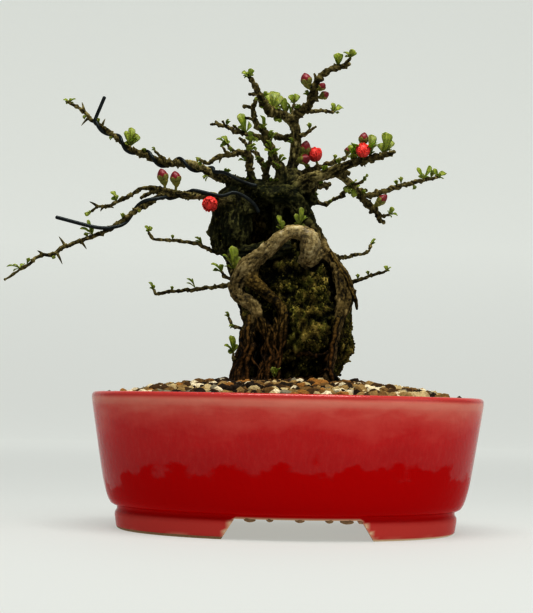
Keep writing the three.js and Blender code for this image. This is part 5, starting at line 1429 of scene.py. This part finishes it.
def lying(radius, *row):
    """A root's path on the surface behind it. It bridges small gaps, as a real root does."""
    line = smooth_path([(x, 0, z, radius) for x, z in zip(row[::2], row[1::2])], ROOT_STEP)
    for place in line:
        start = Vector((place[0], FRONT, place[2])) * MM + Vector(HOME)
        hit = around.ray_cast(start, Vector((0, 1, 0)), RAY_REACH * MM)[0]
        place[1] = (hit.y - HOME[1]) / MM if hit else math.nan
    known = ~np.isnan(line[:, 1])
    depths = np.interp(np.arange(len(line)), np.nonzero(known)[0], line[known, 1])
    line[:, 1] = near_ones(near_ones(depths).min(axis=1)).mean(axis=1)
    return line


fine_roots = []
for index, row in enumerate(FINE_ROOTS):
    line = lying(*row)
    run = np.arange(len(line)) * ROOT_STEP
    swell = np.array([rough((index * 7, 1, s), 5, 2) for s in run])
    line[:, 0] += 0.7 * np.array([rough((index * 7, 5, s), 7, 2) for s in run])
    fine_roots.append(tube(line[:, :3], row[0] * (0.95 + 0.4 * swell), 12))
points, faces = weave(fine_roots)
points = points + 0.2 * (roughness_of(points, 1.4, 2)[:, None] * [1, 1, 0])
strands = piece("fine_roots", points, faces, BARK)
# Painted highlight: the strands are lighter where they face the front and darker where they face away, with
# painted shade where sheltered.
faces_front = np.clip(-mesh_normals(strands.data)[:, 1], 0, 1)
set_attributes(strands.data, pale=np.zeros(len(points)), root=np.ones(len(points)), twig=np.zeros(len(points)),
               relief=0.16 + 0.6 * faces_front**1.5 + 0.36 * roughness_of(points, 1.6, 3))
settle(strands, "bark", "tree_wood")
shelter(strands, around)

# %% [markdown]
# ## Stones
# Loose stones lie on the soil: coarse crushed ones, fine grit between them, and dark bits of bark. A few
# rough stones of about 1 mm are made first, as objects that are scattered at many sizes and then removed.

# %% Stones
def stone(name, subdivisions, seed, squash):
    """A rough stone about 1 mm across, as an object to scatter."""
    ways, faces = ball(subdivisions)
    draws = np.random.default_rng(seed)
    turn = np.array(Matrix.Rotation(seed, 3, "X") @ Matrix.Rotation(seed * 2.0, 3, "Z"))
    bumps = 1 + 0.34 * roughness_of(ways @ turn.T + seed * 3, 0.9, 2) + draws.uniform(-0.07, 0.07, len(ways))
    boxy = np.sign(ways) * np.abs(ways) ** 0.8
    mesh = bpy.data.meshes.new(name)
    mesh.from_pydata((boxy * bumps[:, None] * squash * 0.5).tolist(), [], faces)
    mesh.shade_smooth()
    return in_scene(name, mesh)


COARSE = [stone(f"coarse_{i}", 2, i + 1, np.array([1, 0.85, 0.78])) for i in range(4)]
FINE = [stone(f"fine_{i}", 1, i + 11, np.array([1, 0.85, 0.75])) for i in range(3)]
print("faces of a coarse and a fine stone:", len(COARSE[0].data.polygons), len(FINE[0].data.polygons))

# %% [markdown]
# Geometry Nodes spread the stones over a bed mesh, as if they were poured. Each gets a random turn, a random
# size and a random tone, which the gravel finish turns into a stone's colour. The same tree grows moss.

# %% A scatter in Geometry Nodes
INPUTS = {"Spacing": "Float", "Density": "Float", "Smallest": "Float", "Largest": "Float", "Seed": "Int",
          "Lift": "Float", "Tone From": "Float", "Tone To": "Float"}
FULL_TURN = 6.28
TONE_SEED = 5


def random_between(tree, low, high):
    """A random number for each stone, and its node."""
    made = tree.nodes.new("FunctionNodeRandomValue")
    made.data_type = "FLOAT"
    for label, value in (("Min", low), ("Max", high)):
        tree.links.new(value, next(s for s in made.inputs if s.name == label and s.type == "VALUE"))
    return made, next(socket for socket in made.outputs if socket.type == "VALUE")


def scatter_tree(name, shapes, material):
    """Distributes stones on the faces of a mesh, each with a random turn, size and tone."""
    tree = bpy.data.node_groups.new(name, "GeometryNodeTree")
    tree.interface.new_socket("Geometry", in_out="INPUT", socket_type="NodeSocketGeometry")
    for label, kind in INPUTS.items():
        tree.interface.new_socket(label, in_out="INPUT", socket_type="NodeSocket" + kind)
    tree.interface.new_socket("Geometry", in_out="OUTPUT", socket_type="NodeSocketGeometry")
    group = tree.nodes.new("NodeGroupInput").outputs
    mask = node(tree, "GeometryNodeInputNamedAttribute", {"Name": "bed"}, data_type="FLOAT").outputs["Attribute"]
    spread = node(tree, "GeometryNodeDistributePointsOnFaces", {
        "Mesh": group["Geometry"], "Distance Min": group["Spacing"], "Density Max": group["Density"],
        "Density Factor": mask, "Seed": group["Seed"],
    }, distribute_method="POISSON").outputs
    lifted = node(tree, "ShaderNodeVectorMath", {0: spread["Normal"], 3: group["Lift"]}, operation="SCALE")
    moved = node(tree, "GeometryNodeSetPosition", {"Geometry": spread["Points"], "Offset": lifted.outputs[0]})
    joined = tree.nodes.new("GeometryNodeJoinGeometry")
    for shape in reversed(shapes):
        info = node(tree, "GeometryNodeObjectInfo", {"Object": shape, "As Instance": True})
        tree.links.new(info.outputs["Geometry"], joined.inputs["Geometry"])
    turn = node(tree, "FunctionNodeRandomValue", {"Max": (FULL_TURN,) * 3, "Seed": group["Seed"]},
                data_type="FLOAT_VECTOR")
    _, size = random_between(tree, group["Smallest"], group["Largest"])
    placed = node(tree, "GeometryNodeInstanceOnPoints", {
        "Points": moved.outputs["Geometry"], "Instance": joined.outputs["Geometry"], "Pick Instance": True,
        "Rotation": turn.outputs["Value"], "Scale": size,
    })
    drawn, tone = random_between(tree, group["Tone From"], group["Tone To"])
    drawn.inputs["Seed"].default_value = TONE_SEED
    toned = node(tree, "GeometryNodeStoreNamedAttribute", {
        "Geometry": placed.outputs["Instances"], "Name": "tone", "Value": tone,
    }, data_type="FLOAT", domain="INSTANCE")
    real = node(tree, "GeometryNodeRealizeInstances", {"Geometry": toned.outputs["Geometry"]})
    dressed = node(tree, "GeometryNodeSetMaterial", {"Geometry": real.outputs["Geometry"], "Material": material})
    tree.links.new(dressed.outputs["Geometry"], tree.nodes.new("NodeGroupOutput").inputs["Geometry"])
    return tree


def scatter(name, bed, weight, tree, slot, node_name, **values):
    """Scatters on a bed mesh where its weight allows, and keeps what that made as one plain piece."""
    made = in_scene(name, bed.copy())
    set_attributes(made.data, bed=weight)
    modifier = made.modifiers.new("scatter", "NODES")
    modifier.node_group = tree
    for item in tree.interface.items_tree:
        key = item.name.replace(" ", "_")
        if item.in_out == "INPUT" and key in values:
            scale = 1 if key in ("Density", "Seed", "Tone_From", "Tone_To") else MM
            modifier[item.identifier] = values[key] * scale
    plain(made)
    if name == "gravel_coarse":
        made.data.shade_flat()
    else:
        made.data.shade_smooth()
    settle(made, slot, node_name)


coarse_tree = scatter_tree("coarse_stones", COARSE, GRAVEL)
fine_tree = scatter_tree("fine_grit", FINE, GRAVEL)
moss_tree = scatter_tree("moss_blobs", FINE, MOSS)
print("nodes in a scatter:", len(coarse_tree.nodes))

# %% [markdown]
# ## Gravel
# The bed is the soil's top as a mesh of its own. It is bare under the rock. The coarse stones, the grit and
# the bark bits are three scatters on it, and the bark lies mostly in front of the trunk's left side.

# %% The bed that stones lie on, and the stones
BED_ROWS, BED_COLUMNS = 40, 120
BED_RADIUS = 96.8
BED_SINK = 1.1
out = np.linspace(0.02, 1, BED_ROWS)[:, None]
angle = np.linspace(0, 2 * math.pi, BED_COLUMNS, endpoint=False)[None, :]
bed_x = BED_RADIUS * out * np.cos(angle)
bed_y = BED_RADIUS * BOWL_RATIO * out * np.sin(angle)
way_out = np.minimum(1, np.hypot(bed_x / SOIL_HALF[0], bed_y / SOIL_HALF[1]))
bed_z = soil_height(way_out) - side_dip(bed_x) - BED_SINK
bed_points = np.dstack([bed_x, bed_y, bed_z]).reshape(-1, 3)
bed_faces = [
    (i + j, i + j + BED_COLUMNS, i + BED_COLUMNS + (j + 1) % BED_COLUMNS, i + (j + 1) % BED_COLUMNS)
    for i in range(0, (BED_ROWS - 1) * BED_COLUMNS, BED_COLUMNS) for j in range(BED_COLUMNS)
]
bed = bpy.data.meshes.new("bed")
bed.from_pydata((bed_points * MM + HOME).tolist(), [], bed_faces)
open_bed = np.where(np.hypot((bed_points[:, 0] - 1) / 24, bed_points[:, 1] / 22) < 1, 0.0, 1.0)
near_tree = np.exp(-((bed_points[:, 0] + 10) ** 2 + (bed_points[:, 1] + 30) ** 2) / 900)
scatter("gravel_coarse", bed, open_bed, coarse_tree, "gravel", "soil", Spacing=3.5, Density=3e5,
        Smallest=3.6, Largest=8.4, Seed=3, Lift=0.5, Tone_From=0.15, Tone_To=1.0)
scatter("gravel_fine", bed, open_bed, fine_tree, "gravel", "soil", Spacing=1.7, Density=8e5,
        Smallest=1.6, Largest=3.0, Seed=8, Lift=0.9, Tone_From=0.0, Tone_To=0.92)
scatter("bark_bits", bed, open_bed * np.clip(near_tree * 1.4, 0, 1), fine_tree, "gravel", "soil", Spacing=1.8,
        Density=3e5, Smallest=2.2, Largest=4.2, Seed=21, Lift=2.1, Tone_From=0.0, Tone_To=0.3)

# %% [markdown]
# ## Moss
# Moss grows in small cushions on the rock's ledges and on the trunk's shaded left side. Tiny blobs, densest
# where slow noise and an upward slope allow them, make its crumbly edge against the light.

# %% Moss on the rock and the trunk
on_rock = mesh_points(rock.data)
slope = mesh_normals(rock.data)[:, 2]
weight = np.clip(0.25 + 1.6 * roughness_of(on_rock, 11, 3) + 0.45 * slope, 0, 1) * (on_rock[:, 2] > 72)
scatter("moss_on_rock", rock.data, weight, moss_tree, "rock", "rock", Spacing=0.9, Density=6e5,
        Smallest=0.8, Largest=1.8, Seed=4, Lift=0.1, Tone_From=0.0, Tone_To=1.0)
on_wood = mesh_points(trunk.data)
high = np.clip((on_wood[:, 2] - 148) / 10, 0, 1) * np.clip((2 - on_wood[:, 0]) / 20, 0, 1)
weight = np.clip(0.1 + 1.5 * roughness_of(on_wood, 9, 3), 0, 1) * high
scatter("moss_on_trunk", trunk.data, weight, moss_tree, "bark", "tree_wood", Spacing=0.9, Density=5e5,
        Smallest=0.6, Largest=1.3, Seed=6, Lift=0.05, Tone_From=0.0, Tone_To=0.7)
for shape in COARSE + FINE:
    bpy.data.objects.remove(shape)

# %% [markdown]
# ## The pot
# A revolved profile, squeezed into an oval, gives the walls, the rim and the foot ring. The arch between the
# feet and the two drain holes are cut by a Boolean, as a potter cuts them from the leather-hard clay.

# %% The pot's body
POT_RATIO = 81 / 105
POT_SEGMENTS = 200
WALL = [(90.4, 12.2), (92.4, 12.9), (94.8, 15.8), (98, 27), (102.6, 54), (104.6, 66), (105, 69), (104.7, 71),
        (103.4, 72), (101.6, 71.9), (99.9, 70.6), (98.6, 67)]
FOOT = [(0, 10), (81.3, 10), (81.3, 0.9), (82.1, 0), (88.7, 0), (89.7, 0.5), (90.3, 1.3), (91.2, 7.2),
        (91.1, 8.6), (90.6, 9.6), (90.1, 10.2), (90.1, 11.6)]
INSIDE = [(96.5, 56), (89.5, 22), (85.5, 18), (0, 18)]
LIP_RINGS = 5
# The arch between the feet: how far left and right at the ground and at its top, its height and its slant.
ARCH_LEFT, ARCH_RIGHT, TOP_LEFT, TOP_RIGHT, ARCH_TOP, ARCH_SLANT = -33.2, 43.6, -26.2, 36.6, 10.3, 0.62
CUTTER_END = 90
HOLE_X, HOLE_RADIUS = 36, 7


def rounded(points, step):
    """A profile with a point about every `step` millimetres."""
    made = [points[0]]
    for (r0, z0), (r1, z1) in zip(points, points[1:]):
        count = max(1, round(math.hypot(r1 - r0, z1 - z0) / step))
        made += [(r0 + (r1 - r0) * i / count, z0 + (z1 - z0) * i / count) for i in range(1, count + 1)]
    return made


wall = smooth_path([(r, 0, z, 0) for r, z in WALL], 1.6)[:, [0, 2]]
outer = rounded(FOOT, 1.5) + [tuple(row) for row in wall]
profile = outer + rounded(INSIDE, 3)
points, faces = revolve(profile, POT_SEGMENTS)
ratios = [
    POT_RATIO if ring < len(outer) - LIP_RINGS
    else BOWL_RATIO + (POT_RATIO - BOWL_RATIO) * min(1, max(0, (z - 64) / 6))
    for ring, (_, z) in enumerate(profile[1:-1])
]
points[:, 1] *= np.append(np.repeat(ratios, POT_SEGMENTS), [1, 1])
pot = piece("glazed_pot", points, faces, RED_GLAZE, BARE_CLAY)
arch = [(ARCH_LEFT, -1), (ARCH_RIGHT, -1), (TOP_RIGHT, ARCH_TOP), (TOP_LEFT, ARCH_TOP)]
prism = [(x, y, z) for y in (-CUTTER_END, CUTTER_END) for x, z in arch]
prism_faces = [(0, 1, 2, 3), (7, 6, 5, 4)] + [(i, i + 4, (i + 1) % 4 + 4, (i + 1) % 4) for i in range(4)]
cutters = [piece("arch_cutter", prism, prism_faces, BARE_CLAY)]
hole, hole_faces = revolve([(0, 4), (HOLE_RADIUS, 4), (HOLE_RADIUS, 24), (0, 24)], 40)
for side in (-HOLE_X, HOLE_X):
    cutters.append(piece("drain_cutter", hole + np.array([side, 0, 0]), hole_faces, BARE_CLAY))
for tool in cutters:
    cut = pot.modifiers.new("cut", "BOOLEAN")
    cut.operation = "DIFFERENCE"
    cut.solver = "EXACT"
    cut.object = tool
    cut.material_mode = "TRANSFER"
plain(pot)
for tool in cutters:
    bpy.data.objects.remove(tool)
pot.data.set_sharp_from_angle(angle=math.radians(40))
print("pot:", len(pot.data.polygons), "faces")

# %% [markdown]
# The mesh then carries where the glaze is missing or marked: a red lip at the rim, bare clay along the
# foot's edge and the cuts, and two painted highlights, a pale line under the rim and a paler foot ring. The
# painted reflection band hangs lower at the pot's two ends.

# %% Where the glaze is bare, and where highlights and a reflection are painted
# The recess under the pot is bare clay: its height and reach in metres.
RECESS_TOP, RECESS_OUT = 0.0105, 0.0795
clay = mesh_points(pot.data)
x, z = clay[:, 0], clay[:, 2]
out = np.hypot(x, clay[:, 1] / POT_RATIO)
uneven = 0.35 * roughness_of(clay, 12, 2)
foot_line = np.clip((1.3 - z + 0.5 * uneven) / 0.5, 0, 1) * (out > 87)
cut_side = np.minimum(np.abs(x - ARCH_LEFT - z * ARCH_SLANT), np.abs(x - ARCH_RIGHT + z * ARCH_SLANT))
cut_line = np.clip((0.9 + uneven - cut_side) / 0.4, 0, 1) * (z < 10.5)
under_line = np.clip((11.2 + uneven - z) / 0.5, 0, 1) * (x > -26.5) * (x < 37)
# The pale line under the rim and the paler foot ring are painted highlights, and the dark band's drop at the two
# ends belongs to a painted reflection.
set_attributes(
    pot.data, bare_edge=np.maximum(np.maximum(foot_line, cut_line), under_line),
    band_drop=0.011 * (np.abs(x - 4) / 100) ** 5,
    thin_edge=np.exp(-(((z - 67.4 - uneven) / 1.5) ** 2)) * (out > 100) * 0.75,
    lip=np.clip((z - 69.2 - uneven) / 0.6, 0, 1) * (out > 99),
    ring=np.clip((9.8 - z) / 1.5, 0, 1) * np.clip((out - 86) / 2, 0, 1),
)
settle(pot, "glaze", "pot")
for polygon in pot.data.polygons:
    facing_down = polygon.center.z < RECESS_TOP and polygon.normal.z < -0.5
    if facing_down and math.hypot(*polygon.center.xy) < RECESS_OUT:
        polygon.material_index = 1

# %% [markdown]
# Where the pot was trimmed under its front edge, a few small lumps of bare clay were left between the feet.

# %% Lumps of clay under the edge
EDGE = 90.0
# Each lump: x, z, half its length.
LUMPS = [(-18.5, 10.1, 2.9), (6.0, 10.3, 2.4), (29.4, 9.8, 3.4), (-8.7, 10.4, 1.8), (20.6, 10.2, 2.0)]
ways, faces = ball(3)
lumps = []
for x, z, half in LUMPS:
    y = -POT_RATIO * math.sqrt(EDGE**2 - x**2) + 1.2
    lumps.append((ways * [half, 1.4, 1.3] * (1 + 0.15 * roughness_of(ways, 0.8, 2)[:, None]) + [x, y, z], faces))
settle(piece("clay_lumps", *weave(lumps), BARE_CLAY), "glaze", "pot")

# %% [markdown]
# The mesh squares over the drain holes are fine as the construction model has them, so they keep their shape
# and only get their plastic.

# %% Drain screens
for name in ("drain_screen_left", "drain_screen_right"):
    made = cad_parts[name]
    for place in made.material_slots:
        place.link = "OBJECT"
        place.material = SCREEN_PLASTIC
print("screens dressed")

# %% [markdown]
# ## The stage
# The object stands on a pale floor that curves up into a pale wall. Both glow a little, most where the floor
# bends up, so that the backdrop stays even without strong lights on it.

# %% Floor and backdrop
FLOOR_FRONT, BEND_START, BEND, WALL_TOP, STAGE_HALF = -1400, 1900, 600, 2600, 3500
GLOW_AT, GLOW = [300, 1500, 2100, 2500, 3100], [0.57, 0.68, 0.7, 0.65, 0.56]
BACKDROP, tree, surface = finish("backdrop", Roughness=0.9)
surface.inputs["Emission Color"].default_value = (0.9, 0.92, 0.88, 1)
upward = maths(tree, "ABSOLUTE", parted(tree, node(tree, "ShaderNodeNewGeometry").outputs["Normal"])["Z"])
coat(tree, surface, Base_Color=ramp(tree, upward, (0.3, (0.5, 0.51, 0.49)), (0.95, (0.2, 0.205, 0.2))),
     Emission_Strength=attribute(tree, "glow"))
curve = [(FLOOR_FRONT, 0.0), (300, 0.0), (1100, 0.0), (1500, 0.0)]
for angle in np.linspace(0, math.pi / 2, 16):
    curve.append((BEND_START + BEND * math.sin(angle), BEND - BEND * math.cos(angle)))
curve.append((BEND_START + BEND, WALL_TOP))
stage_points = [(x, y, z) for x in (-STAGE_HALF, STAGE_HALF) for y, z in curve]
stage_faces = [(i, i + len(curve), i + len(curve) + 1, i + 1) for i in range(len(curve) - 1)]
stage = piece("backdrop", stage_points, stage_faces, BACKDROP)
set_attributes(stage.data, glow=np.tile(np.interp([y + z for y, z in curve], GLOW_AT, GLOW), 2))

# %% [markdown]
# ## Light
# A large soft light from above makes the broad shine on the glaze. A weaker one fills from the right, and a
# grey sky does the rest.

# %% Lights
AIM = np.array([0, 0, 110])
SKY, SKY_STRENGTH, GAMMA = (0.8, 0.82, 0.84, 1), 0.42, 0.7


def area_light(name, place, size, watts, colour):
    """A rectangle of light at a place in millimetres, turned towards the middle of the tree."""
    data = bpy.data.lights.new(name, "AREA")
    data.shape = "RECTANGLE"
    data.size, data.size_y = size
    data.energy = watts
    data.color = colour
    made = in_scene(name, data)
    made.location = Vector(np.array(place) * MM + HOME)
    made.rotation_euler = (Vector(AIM * MM + HOME) - made.location).to_track_quat("-Z", "Y").to_euler()


area_light("key", (40, -300, 900), (0.7, 0.5), 10.5, (1.0, 0.99, 0.96))
area_light("fill", (800, -450, 380), (0.7, 0.7), 1.7, (0.95, 0.98, 1.0))
world = bpy.data.worlds.new("sky")
world.use_nodes = True
sky = world.node_tree.nodes["Background"].inputs
sky["Color"].default_value = SKY
sky["Strength"].default_value = SKY_STRENGTH
bpy.context.scene.world = world
view = bpy.context.scene.view_settings
view.view_transform = "Standard"
view.gamma = GAMMA
